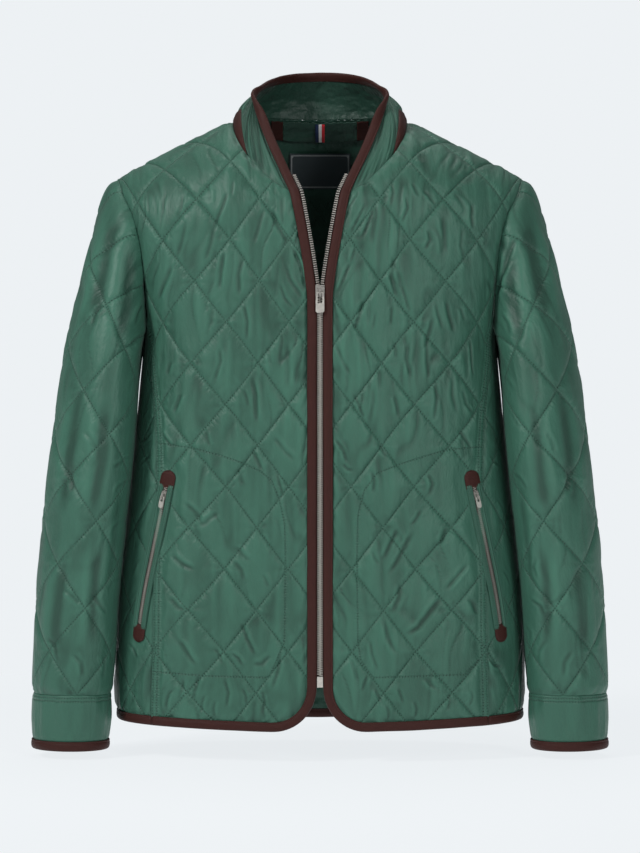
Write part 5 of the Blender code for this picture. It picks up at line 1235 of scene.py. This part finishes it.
back_loop = to_quilt(back_outline())
back_cloth_piece = dress(cloth("back_cloth", back_loop, back_cloth, torso_height(True), [GREEN], BODY_CELL, BASE,
                               flip=True), ["back"])
front_loop = to_quilt(front_outline())
side_loop = to_quilt(side_outline())
arm_loop_flat = sleeve_outline()
collar_loop = collar_outline()
gusset_loop = gusset_outline()
for side_name, turned in SIDES:
    body_creases = RIGHT_CREASES if turned else LEFT_CREASES
    arm_creases = RIGHT_ARM_CREASES if turned else LEFT_ARM_CREASES
    seed = 2.0 + 10 * turned
    piece = dress(cloth("front_cloth_" + side_name, front_loop, torso_cloth,
                        torso_height(False, to_quilt(SIDE_RISE), seed, body_creases), [FRONT_GREEN], BODY_CELL, BASE,
                        mirror=turned, grain=16), ["front_" + side_name])
    trace(piece, "bag", body_line(np.array(RIGHT_BAG if turned else LEFT_BAG, float) * MM))
    trace(piece, "ridge", to_quilt(SIDE_RISE))
    piece = dress(cloth("side_cloth_" + side_name, side_loop, torso_cloth,
                        torso_height(False, None, seed + 1, body_creases), [GREEN], BODY_CELL, BASE, mirror=turned,
                        grain=16),
                  ["side_" + side_name])
    piece = dress(cloth("sleeve_cloth_" + side_name, arm_loop_flat, sleeve, sleeve_height(seed + 2, arm_creases),
                        [SLEEVE_GREEN], SLEEVE_CELL, (0.0, SLEEVE_DIAMOND_BASE), flip=True, mirror=turned, grain=16),
                  ["sleeve_" + side_name])
    piece = dress(cloth("neck_gusset_cloth_" + side_name, gusset_loop, collar, plain_height, [PLAIN_BROWN], PLAIN_CELL,
                        flip=True, mirror=turned, rings=(2.5 * MM,)), ["neck_gusset_" + side_name])
piece = dress(cloth("collar_cloth", collar_loop, collar, collar_height, [SHADED_COLLAR_GREEN], PLAIN_CELL, flip=True,
                    wall=2.4 * MM), ["collar"])

# ---------------- frames along the cloth edges ----------------
def frame_line(parts, right=False):
    """Edge points, directions away from the cloth and outward normals, from parts (surface, flip, rows)."""
    points = np.vstack([at(*rows.T) for at, _, rows in parts])
    ups = np.vstack([normals(at, *rows.T, flip) for at, flip, rows in parts])
    both = resample(np.hstack([points, ups * 0.02]), 3.5 * MM)
    points, ups = both[:, :3], unit(both[:, 3:])
    t = unit(np.gradient(points, axis=0))
    for _ in range(4):
        ups = unit(np.vstack([ups[:1], (ups[:-2] + 2 * ups[1:-1] + ups[2:]) / 4, ups[-1:]]))
    ups = unit(ups - t * np.sum(ups * t, axis=1, keepdims=True))
    sides = np.cross(t, ups) if right else np.cross(ups, t)
    return points, unit(sides), ups

def reflect(frames):
    return tuple(f[::-1] * np.array([-1, 1, 1]) for f in frames)

def joined(first, second):
    return tuple(np.vstack([a, b]) for a, b in zip(first, second))

def part_of(frames, low, high):
    """Frames between two run lengths."""
    run = lengths(frames[0])
    marks = np.concatenate([[low], run[(run > low) & (run < high)], [min(high, run[-1])]])
    rows = between(marks, run, np.hstack(frames))
    return rows[:, :3], unit(rows[:, 3:6]), unit(rows[:, 6:])

def run_at_height(frames, z):
    """Run length where a line first rises past a height."""
    heights = frames[0][:, 2]
    k = int(np.argmax((heights[:-1] <= z) & (heights[1:] > z)))
    run = lengths(frames[0])
    return float(run[k] + (run[k + 1] - run[k]) * (z - heights[k]) / (heights[k + 1] - heights[k]))

def thin(profile, wall):
    """Closed outline of a thin folded band from the line of its outer face."""
    pts = np.array(profile, float) * MM
    ways = unit(np.gradient(pts, axis=0))
    inner = pts + np.stack([ways[:, 1], -ways[:, 0]], axis=1) * wall
    return np.vstack([pts, inner[::-1]])

def sweep(name, frames, profile, mats, wavy=0.0, seed=0.0, across=None, smooth=True):
    """Band drawn along frames; profile points are (side, up) distances in metres."""
    points, sides, ups = frames
    profile = np.asarray(profile, float)
    run = lengths(frames[0])
    size = len(profile)
    count = len(points)
    rows = []
    for k, (a, b) in enumerate(profile):
        shake = wavy * noise(run / (9 * MM), run * 0 + 0.7 * (k % (size // 2 + 1)), seed)
        slow = wavy * 1.4 * noise(run / (31 * MM), run * 0 + seed, seed + 4)
        rows.append(points + sides * (a + slow)[:, None] + ups * (b + shake)[:, None])
    verts = np.stack(rows, axis=1).reshape(-1, 3)
    faces = []
    for k in range(count - 1):
        for i in range(size):
            j = (i + 1) % size
            faces.append((k * size + i, k * size + j, (k + 1) * size + j, (k + 1) * size + i))
    faces.append(tuple(reversed(range(size))))
    faces.append(tuple((count - 1) * size + i for i in range(size)))
    along = np.repeat(run, size)
    width = lengths(profile)
    width = np.where(np.arange(size) < size // 2, width, width[::-1]) if across is None else np.asarray(across)
    pattern = np.column_stack([along, np.tile(width, count), np.zeros(size * count)])
    return add_mesh(name, verts, faces, mats, pattern, smooth)

front_hem = hem_line(SIDE_RISE[0][0], FRONT_LINE[-1][0])
EDGE = frame_line([(torso, False, front_hem[:-1]), (torso, False, FRONT_LINE[::-1]), (torso, False, NECK_F[-1:]),
                   (collar, True, COLLAR_SIDE[1:])])
# rounds the collar's corner: the first turns move the edge and its directions, the rest only the directions
corner_foot = EDGE[0][:, 2].max() - 36 * MM
for turn in range(30):
    share = ease((EDGE[0][1:-1, 2:] - corner_foot) / (8 * MM))
    for rows in EDGE[0 if turn < 7 else 1:]:
        soft = (rows[:-2] + 2 * rows[1:-1] + rows[2:]) / 4
        rows[1:-1] += (soft - rows[1:-1]) * share
EDGE[1][:] = unit(EDGE[1])
EDGE[2][:] = unit(EDGE[2] - EDGE[1] * np.sum(EDGE[1] * EDGE[2], axis=1)[:, None])
EDGE[1][-1] = unit(EDGE[1][-1] * np.array([0, 1, 1]))
EDGE[2][-1] = unit(EDGE[2][-1] * np.array([0, 1, 1]))
side_hem = hem_line(SIDE_RISE[0][0], 2 * QUARTER - SIDE_RISE[0][0])
back_hem = hem_line(SIDE_RISE[0][0], 0, True)
HEM = frame_line([(torso, False, side_hem[:-1]), (torso_back, True, back_hem)], right=True)
HEM[0][0], HEM[1][0], HEM[2][0] = (f[0] for f in EDGE)
WHOLE_EDGE = joined(EDGE, tuple(f[1:] for f in reflect(EDGE)))
WHOLE_HEM = joined(HEM, tuple(f[1:] for f in reflect(HEM)))
EDGE_LENGTH = float(lengths(WHOLE_EDGE[0])[-1])
HEM_LENGTH = float(lengths(WHOLE_HEM[0])[-1])

# outer face of the folded binding, from its front lip round the edge to its back lip
BINDING = ((-0.7, 0.2), (-0.7, 1.0), (0.0, 1.5), (0.7, 1.45), (1.2, 1.2), (1.7, 1.45), (2.4, 1.8), (4.2, 2.1),
           (6.4, 2.05), (8.2, 1.6), (9.4, 0.8), (9.9, -0.4), (9.6, -1.5), (8.6, -2.3), (6.6, -2.8), (4.2, -2.9),
           (2.2, -2.7), (1.2, -2.5), (0.2, -2.7), (-0.7, -2.5), (-0.9, -2.0))
BINDING_WALL = 0.7 * MM
BINDING_WIDE = float(np.sum(np.linalg.norm(np.diff(np.array(BINDING), axis=0), axis=1))) * MM
BINDING_GAP = 0.15 * MM         # left open at each end of a binding
edge_binding = dress(sweep("edge_binding_tape", part_of(WHOLE_EDGE, BINDING_GAP, EDGE_LENGTH - BINDING_GAP),
                           thin(BINDING, BINDING_WALL), [BROWN], 0.16 * MM, 1.0), ["edge_binding"])
hem_binding = dress(sweep("hem_binding_tape", part_of(WHOLE_HEM, BINDING_GAP, HEM_LENGTH - BINDING_GAP),
                          thin(BINDING, BINDING_WALL), [BROWN], 0.16 * MM, 2.0), ["hem_binding"])

# ---------------- front zip ----------------
ZIP_FOOT = HEM_FRONT + CORNER_RADIUS
ZIP_TOP = -70 * MM
ZIP_BOX_TALL = 12 * MM
PITCH = 2.5 * MM
zip_top_run = run_at_height(EDGE, ZIP_TOP)
zip_foot_run = run_at_height(EDGE, ZIP_FOOT + ZIP_BOX_TALL + 0.4 * MM)

def loft_box(corners, rounding):
    """Vertices and faces of a small block with trimmed edges from (low, high) corners."""
    (x0, y0, z0), (x1, y1, z1) = corners
    r = rounding
    verts = []
    for z, inner in ((z0, r), (z0 + r, 0), (z1 - r, 0), (z1, r)):
        for x, y in ((x0 + r, y0), (x1 - r, y0), (x1, y0 + r), (x1, y1 - r), (x1 - r, y1), (x0 + r, y1),
                     (x0, y1 - r), (x0, y0 + r)):
            cx, cy = (x0 + x1) / 2, (y0 + y1) / 2
            kx = 1 - inner / max(x1 - x0, 1e-9) * 2
            ky = 1 - inner / max(y1 - y0, 1e-9) * 2
            verts.append((cx + (x - cx) * kx, cy + (y - cy) * ky, z))
    faces = [tuple(reversed(range(8))), tuple(range(24, 32))]
    for j in range(3):
        for k in range(8):
            m = (k + 1) % 8
            faces.append((8 * j + k, 8 * j + m, 8 * j + 8 + m, 8 * j + 8 + k))
    return verts, faces

def teeth(name, frames, low, high, shift, shape, mats, pitch=PITCH):
    """Row of metal teeth; shape lists blocks in (side, up, along) distances."""
    run = lengths(frames[0])
    table = np.hstack(frames)
    verts = []
    faces = []
    marks = np.arange(low + shift + pitch / 2, high - pitch / 2, pitch)
    for mark in marks:
        row = between(mark, run, table)
        ahead = between(mark + 1 * MM, run, table[:, :3])
        p, s, u = row[:3], unit(row[3:6]), unit(row[6:])
        t = unit(ahead - p)
        for corners in shape:
            pts, local = loft_box(corners, 0.3 * MM)
            start = len(verts)
            verts += [tuple(p + s * a + u * b + t * c) for a, b, c in pts]
            faces += [tuple(start + k for k in f) for f in local]
    return add_mesh(name, verts, faces, mats, smooth=False)

TOOTH = (((FRONT_EDGE - 3.1 * MM, -2.4 * MM, -0.55 * MM), (FRONT_EDGE - 0.9 * MM, 0.8 * MM, 0.55 * MM)),
         ((FRONT_EDGE - 1.3 * MM, -1.9 * MM, -0.5 * MM), (FRONT_EDGE + 0.9 * MM, 0.1 * MM, 0.5 * MM)))
TAPE = ((1, -3.2), (5, -3.2), (9, -3.2), (10.4, -2.4), (11.4, -1.5), (12.4, -1.1))
TAPE_WALL = 0.5 * MM
for side_name, change in (("left", lambda f: f), ("right", reflect)):
    line = change(part_of(EDGE, zip_foot_run - ZIP_BOX_TALL, zip_top_run))
    tape = dress(sweep("zip_tape_cloth_" + side_name, line, thin(TAPE, TAPE_WALL), [TAPE_CLOTH], 0.1 * MM, 3.0),
                 ["zip_tape_" + side_name])
    shift = 0.0 if side_name == "left" else PITCH / 2
    low, high = zip_foot_run, zip_top_run
    row = teeth("zip_teeth_" + side_name, EDGE, low, high, shift, TOOTH, [METAL])
    if side_name == "right":
        row.data.transform(Matrix.Scale(-1, 4, (1, 0, 0)))
        row.data.flip_normals()
    dress(row, ["zip_teeth_" + side_name])

# ---------------- cuffs ----------------
def key_at(z):
    return float(np.interp(-z, -RING[:, 3], KEYS))

def around_normals(angle, key):
    e = 0.01
    along = sleeve_point(angle, key + 1 * MM) - sleeve_point(angle, key - 1 * MM)
    turn = sleeve_point(angle + e, key) - sleeve_point(angle - e, key)
    return unit(np.cross(turn, along))

def tube(name, high_key, low_key, rows, count, wall, height, mats):
    """Closed ring of cloth between two places along the sleeve."""
    keys = np.linspace(high_key, low_key, rows + 1)
    angles = np.linspace(-math.pi, math.pi, count + 1)[:-1]
    kk, aa = (g.ravel() for g in np.meshgrid(keys, angles, indexing="ij"))
    p = sleeve_point(aa, kk)
    n = around_normals(aa, kk)
    if np.mean(np.sum(n * (p - p.mean(axis=0)), axis=1)) < 0:
        n = -n
    girth = np.interp(kk, MARKS, AROUND)
    u = aa / (2 * math.pi) * girth
    v = kk - keys[0]
    away = np.minimum(kk - keys[0], keys[-1] - kk)
    outer = p + n * height(u, v, away)[:, None]
    inner = p - n * wall
    verts = np.vstack([outer, inner])
    size = len(outer)
    faces = []
    for j in range(rows):
        for k in range(count):
            m = (k + 1) % count
            a, b, c, d = j * count + k, j * count + m, (j + 1) * count + m, (j + 1) * count + k
            faces.append((a, b, c, d))
            faces.append((size + a, size + d, size + c, size + b))
    last = rows * count
    for k in range(count):
        m = (k + 1) % count
        faces.append((k, size + k, size + m, m))
        faces.append((last + k, last + m, size + last + m, size + last + k))
    pattern = np.column_stack([u, v, away])
    pattern = np.vstack([pattern, pattern + np.array([0, 0, 1.0])])
    obj = add_mesh(name, verts, faces, mats, pattern)
    fix_normals(obj)
    return obj

def fix_normals(obj):
    """Turns every face outward."""
    bm = bmesh.new()
    bm.from_mesh(obj.data)
    bmesh.ops.recalc_face_normals(bm, faces=bm.faces)
    bm.to_mesh(obj.data)
    bm.free()

def twin(obj, name):
    """Mirror image of a piece across the centre."""
    mesh = obj.data.copy()
    mesh.name = name
    mesh.transform(Matrix.Scale(-1, 4, (1, 0, 0)))
    mesh.flip_normals()
    copy = bpy.data.objects.new(name, mesh)
    bpy.context.scene.collection.objects.link(copy)
    return copy

def ring_band(name, key, profile, count, mats, seed):
    """Folded band round the end of the sleeve."""
    angles = np.linspace(-math.pi, math.pi, count + 1)[:-1]
    keys = np.full(count, key)
    p = sleeve_point(angles, keys)
    up = around_normals(angles, keys)
    if np.mean(np.sum(up * (p - p.mean(axis=0)), axis=1)) < 0:
        up = -up
    side = unit(sleeve_point(angles, keys + 3 * MM) - p)
    profile = np.asarray(profile, float)
    size = len(profile)
    run = lengths(p)
    rows = [p + side * a + up * (b + 0.15 * MM * noise(run / (9 * MM), run * 0 + 0.7 * k, seed))[:, None]
            for k, (a, b) in enumerate(profile)]
    verts = np.stack(rows, axis=1).reshape(-1, 3)
    faces = []
    for k in range(count):
        m = (k + 1) % count
        for i in range(size):
            j = (i + 1) % size
            faces.append((k * size + i, k * size + j, m * size + j, m * size + i))
    width = lengths(profile)
    width = np.where(np.arange(size) < size // 2, width, width[::-1])
    pattern = np.column_stack([np.repeat(run, size), np.tile(width, count), np.zeros(size * count)])
    obj = add_mesh(name, verts, faces, mats, pattern)
    fix_normals(obj)
    return obj

def cuff_height(u, v, away):
    high = 1.0 * MM * noise(u / (13 * MM), v / (30 * MM), 8.0) + 0.7 * MM * noise(u / (5.5 * MM), v / (26 * MM), 9.0)
    seam = np.exp(-((v - CUFF_STITCH) / (1.1 * MM)) ** 2) + np.exp(-((v - 2.2 * CUFF_STITCH) / (1.1 * MM)) ** 2)
    return 0.4 * MM + high * ease(away / (7 * MM)) - 0.5 * MM * seam - 1.4 * MM * np.exp(-(away / (1.6 * MM)) ** 2)

CUFF_BINDING = tuple((a * 1.04, b + 0.5) for a, b in BINDING)
CUFF_GIRTH = float(np.interp(KEY_CUFF, MARKS, AROUND))
CUFF_TALL = key_at(CUFF_BOTTOM) + 0.8 * MM - KEY_CUFF
for obj, nodes, slot, flat, held in (
        (tube("cuff_cloth_left", KEY_CUFF, key_at(CUFF_BOTTOM) + 0.8 * MM, 40, 180, 2.4 * MM, cuff_height, [CUFF]),
         "cuff_", "green_cloth", (CUFF_GIRTH, CUFF_TALL), "stretched"),
        (ring_band("cuff_binding_tape_left", key_at(CUFF_BOTTOM), thin(CUFF_BINDING, BINDING_WALL), 110, [BROWN], 5.0),
         "cuff_binding_", "brown_trim", (BINDING_WIDE * 1.04, CUFF_GIRTH), "folded")):
    dress(obj, [nodes + "left"])
    other = dress(twin(obj, obj.name.replace("left", "right")), [nodes + "right"])

# ---------------- pockets ----------------
TOP_UV, END_UV = POCKET_LINE
POCKET_LONG = float(np.linalg.norm(END_UV - TOP_UV))
DOWN = (END_UV - TOP_UV) / POCKET_LONG
ACROSS = np.array([-DOWN[1], DOWN[0]])
HALF_TAB = TAB_LENGTH / 2

def pocket_frames(low, high):
    """Frames down the left pocket: side points to the side seam."""
    marks = steps(low, high, 3 * MM)
    rows = TOP_UV + np.outer(marks, DOWN)
    beside = rows + ACROSS * 1 * MM
    points = torso(*rows.T)
    ups = normals(torso, *rows.T, False)
    sides = torso(*beside.T) - points
    return points, unit(sides), ups

WELT = ((-9.6, 0.1), (-9.5, 2.0), (-8.9, 2.7), (-8.1, 1.4), (-7.4, 2.6), (-6.3, 2.9), (-5.3, 2.6), (-4.7, 1.3),
        (-4.1, 2.5), (-3.5, 2.3), (-3.1, 1.2))
WELT_WALL = 0.7 * MM
welt_run = (HALF_TAB - 4 * MM, POCKET_LONG - HALF_TAB + 4 * MM)
line = pocket_frames(*welt_run)
right_welt = tuple((-a, b) for a, b in WELT[::-1])
for part, profile, seed in (("front", WELT, 1.0), ("back", right_welt, 2.0)):
    left = sweep("pocket_welt_cloth_" + part + "_left", line, thin(profile, WELT_WALL), [WELT_CLOTH], 0.12 * MM, seed)
    fix_normals(left)
    dress(left, ["pocket_welt_" + part + "_left"])
    right = dress(twin(left, "pocket_welt_cloth_" + part + "_right"), ["pocket_welt_" + part + "_right"])
POCKET_TAPE = ((-5.2, 0.2), (-3.7, 0.5), (-2.0, 0.7), (0, 0.8), (2.0, 0.7), (3.7, 0.5), (5.2, 0.2))
POCKET_TOOTH = (((-2.3 * MM, 0.3 * MM, -0.42 * MM), (0.3 * MM, 2.0 * MM, 0.42 * MM)),)
POCKET_OTHER = (((-0.3 * MM, 0.3 * MM, -0.42 * MM), (2.3 * MM, 2.0 * MM, 0.42 * MM)),)
left = sweep("pocket_tape_left", line, thin(POCKET_TAPE, 0.4 * MM), [TAPE_CLOTH], 0.05 * MM, 3.0)
fix_normals(left)
dress(left, ["pocket_zip_left"])
right = dress(twin(left, "pocket_tape_right"), ["pocket_zip_right"])
for name, shape, shift in (("a", POCKET_TOOTH, 0.0), ("b", POCKET_OTHER, 1.2 * MM)):
    left = teeth("pocket_teeth_" + name + "_left", line, 2 * MM, POCKET_LONG - TAB_LENGTH + 6 * MM, shift, shape,
                 [METAL], 2.4 * MM)
    dress(left, ["pocket_zip_left"])
    dress(twin(left, "pocket_teeth_" + name + "_right"), ["pocket_zip_right"])

def tab_outline(a0, a1, half):
    """Leather tab across the pocket from a0 with a rounded end at a1."""
    way = 1 if a1 > a0 else -1
    bend = a1 - way * half * 0.8
    pts = [(a, half) for a in np.linspace(a0, bend, 5)]
    pts += [(bend + way * half * 0.8 * math.sin(w), half * math.cos(w)) for w in np.linspace(0, math.pi, 17)[1:-1]]
    pts += [(a, -half) for a in np.linspace(bend, a0, 5)]
    pts += [(a0, c) for c in np.linspace(-half, half, 8)[1:-1]]
    loop = np.array([TOP_UV + DOWN * a + ACROSS * c for a, c in pts])
    x, y = loop.T
    return loop if np.sum(x * np.roll(y, -1) - np.roll(x, -1) * y) > 0 else loop[::-1]

def tab_height(u, v, away):
    seam = np.exp(-((away - 1.5 * MM) / (0.5 * MM)) ** 2)
    return 0.5 * MM * ease(away / (5 * MM)) - 0.3 * MM * seam, 0.2 * MM * noise(u / (5 * MM), v / (5 * MM), 3.0)

TABS = (("top", HALF_TAB, -HALF_TAB, POCKET_HALF * 1.15),
        ("end", POCKET_LONG - HALF_TAB, POCKET_LONG + HALF_TAB, POCKET_HALF * 0.95))
for part, a0, a1, half in TABS:
    tab_loop = tab_outline(a0, a1, half)
    for side_name, turned in SIDES:
        piece = dress(cloth("pocket_tab_" + part + "_leather_" + side_name, tab_loop, torso, tab_height,
                            [PATCH], (36 * MM, 36 * MM), wall=1.6 * MM, lift=2.1 * MM, drop=0.9 * MM, roll=0.8 * MM,
                            rings=(1.4 * MM,), mirror=turned),
                      ["pocket_tab_" + part + "_" + side_name])

# ---------------- inside the back neck ----------------
FACING_DROP = 2 * MM
FACING_TALL = 29 * MM
FACING_HALF = 44 * MM
FACING_ENDS = 58 * MM
LABEL_HALF = 36 * MM
LABEL_TALL = 45 * MM

def under_neck(us):
    return np.column_stack([us, np.interp(np.abs(us), NECK_B[:, 0], NECK_B[:, 1]) - FACING_DROP])

def strip_outline(u0, u1):
    high = under_neck(np.linspace(u1, u0, max(int(round(abs(u1 - u0) / (5 * MM))), 2) + 1))
    low = high[::-1] - np.array([0, FACING_TALL])
    ends = np.linspace(0, 1, 6)[1:-1, None]
    return np.vstack([low, low[-1] + (high[0] - low[-1]) * ends, high, high[-1] + (low[0] - high[-1]) * ends])

def lining_height(u, v, away):
    high = 0.5 * MM * noise(u / (9 * MM), v / (20 * MM), 7.0) + 0.3 * MM * noise(u / (30 * MM), v / (9 * MM), 5.0)
    return 0.0 * u, -high * ease(away / (6 * MM))

def label_height(u, v, away):
    rim = np.exp(-((away - 2.2 * MM) / (0.9 * MM)) ** 2)
    return 0.25 * MM * rim, -0.3 * MM * noise(u / (16 * MM), v / (18 * MM), 2.0) * ease(away / (6 * MM))

LINING = dict(flip=True, lift=-4.2 * MM, wall=0.8 * MM, drop=0.0, rings=(2.0 * MM,))
facing_loop = strip_outline(-FACING_HALF, FACING_HALF)
piece = dress(cloth("neck_facing_cloth", facing_loop, torso_back, lining_height, [LINING_CLOTH],
                    (60 * MM, 60 * MM), **LINING), ["neck_facing"])
end_loop = strip_outline(FACING_HALF, FACING_ENDS)
for side_name, turned in SIDES:
    piece = dress(cloth("facing_end_cloth_" + side_name, end_loop, torso_back, plain_height,
                        [PLAIN_BROWN], (60 * MM, 60 * MM), mirror=turned, **LINING), ["facing_end_" + side_name])
label_top = pattern_at_depth(0, 104 * MM)[1]
across_marks = np.linspace(-LABEL_HALF, LABEL_HALF, 19)
up_marks = np.linspace(label_top - LABEL_TALL, label_top, 12)[1:-1]
label_loop = np.vstack([
    np.column_stack([across_marks, 0 * across_marks + label_top - LABEL_TALL]),
    np.column_stack([0 * up_marks + LABEL_HALF, up_marks]),
    np.column_stack([across_marks[::-1], 0 * across_marks + label_top]),
    np.column_stack([0 * up_marks - LABEL_HALF, up_marks[::-1]])])
piece = dress(cloth("neck_label_cloth", label_loop, torso_back, label_height, [NAVY], (60 * MM, 60 * MM), **LINING),
              ["neck_label"])

neck_mid = float(NECK_B[0, 1]) - FACING_DROP
loop_marks = np.linspace(neck_mid - 0.5 * MM, neck_mid - FACING_TALL + 0.5 * MM, 22)
loop_n = normals(torso_back, 0 * loop_marks, loop_marks, True)
stand = 5.2 * MM + 3 * MM * np.sin(math.pi * np.linspace(0, 1, len(loop_marks))) ** 0.8
loop_frames = (torso_back(0 * loop_marks, loop_marks) - loop_n * stand[:, None],
               np.tile([1.0, 0, 0], (len(loop_marks), 1)), -loop_n)
LOOP_BAND = tuple((x, 0.12 * math.cos(x * 1.2)) for x in np.linspace(-5.5, 5.5, 9))
hanger = sweep("hanger_ribbon", loop_frames, thin(LOOP_BAND, 0.8 * MM), [RIBBON], 0.05 * MM, 6.0)
fix_normals(hanger)
dress(hanger, ["hanger_loop"])

# ---------------- camera, lights, stage ----------------
cam_data = bpy.data.cameras.new("camera")
cam = bpy.data.objects.new("camera", cam_data)
bpy.context.scene.collection.objects.link(cam)
cam.location = (0, -3.2, -0.348)
cam.rotation_euler = (math.pi / 2, 0, 0)
cam_data.lens = 117.4
cam_data.sensor_width = 36
cam_data.dof.use_dof = False
bpy.context.scene.camera = cam

def area_light(name, place, look_at, size, power, colour=(1, 1, 1)):
    data = bpy.data.lights.new(name, "AREA")
    data.shape = "RECTANGLE"
    data.size, data.size_y = size
    data.energy = power
    data.color = colour
    lamp = bpy.data.objects.new(name, data)
    bpy.context.scene.collection.objects.link(lamp)
    lamp.location = place
    lamp.rotation_euler = (Vector(look_at) - Vector(place)).to_track_quat("-Z", "Y").to_euler()
    return lamp

area_light("key", (-2.3, -2.1, 1.7), (0, 0, -0.35), (0.7, 0.7), 83)
area_light("fill", (1.6, -3.0, 0.9), (0, 0, -0.35), (1.0, 1.0), 43)
area_light("top", (0.1, 0.6, 2.0), (0, 0, -0.3), (1.6, 1.2), 18)

BACKDROP = (0.847, 0.880, 0.904)
AMBIENT = 0.12                  # the share of the backdrop's light that reaches the jacket
world = bpy.data.worlds.new("pale_room")
bpy.context.scene.world = world
world.use_nodes = True
sky = world.node_tree
sky.nodes["Background"].inputs["Color"].default_value = (*BACKDROP, 1)
ray = sky.nodes.new("ShaderNodeLightPath")
strength = sky.nodes.new("ShaderNodeMapRange")
strength.inputs["To Min"].default_value = AMBIENT
sky.links.new(ray.outputs["Is Camera Ray"], strength.inputs["Value"])
sky.links.new(strength.outputs["Result"], sky.nodes["Background"].inputs["Strength"])

FLOOR = -722 * MM
FLOOR_DYE = 0.10
FLOOR_GLOW = tuple(c - 0.068 for c in BACKDROP)
bpy.ops.mesh.primitive_circle_add(vertices=96, radius=6, fill_type="NGON", location=(0, 0, FLOOR))
floor = bpy.context.object
floor.name = "floor"
g = Graph("pale_floor")
place = g.tree.nodes.new("ShaderNodeTexCoord")
away = g.tree.nodes.new("ShaderNodeVectorMath")
away.operation = "LENGTH"
g.put(away.inputs[0], place.outputs["Object"])
far = g.step(away.outputs["Value"], 0.45, 1.1)
glow = g.tree.nodes.new("ShaderNodeEmission")
g.put(glow.inputs["Color"], (*BACKDROP, 1))
near = g.tree.nodes.new("ShaderNodeEmission")
g.put(near.inputs["Color"], (*FLOOR_GLOW, 1))
matt = g.tree.nodes.new("ShaderNodeBsdfDiffuse")
g.put(matt.inputs["Color"], (FLOOR_DYE, FLOOR_DYE, FLOOR_DYE, 1))
both = g.tree.nodes.new("ShaderNodeAddShader")
g.put(both.inputs[0], near.outputs[0])
g.put(both.inputs[1], matt.outputs[0])
blend = g.tree.nodes.new("ShaderNodeMixShader")
g.put(blend.inputs[0], far)
g.put(blend.inputs[1], both.outputs[0])
g.put(blend.inputs[2], glow.outputs[0])
g.put(g.tree.nodes["Material Output"].inputs["Surface"], blend.outputs[0])
floor.data.materials.append(g.mat)
bpy.context.scene.view_settings.view_transform = "Standard"
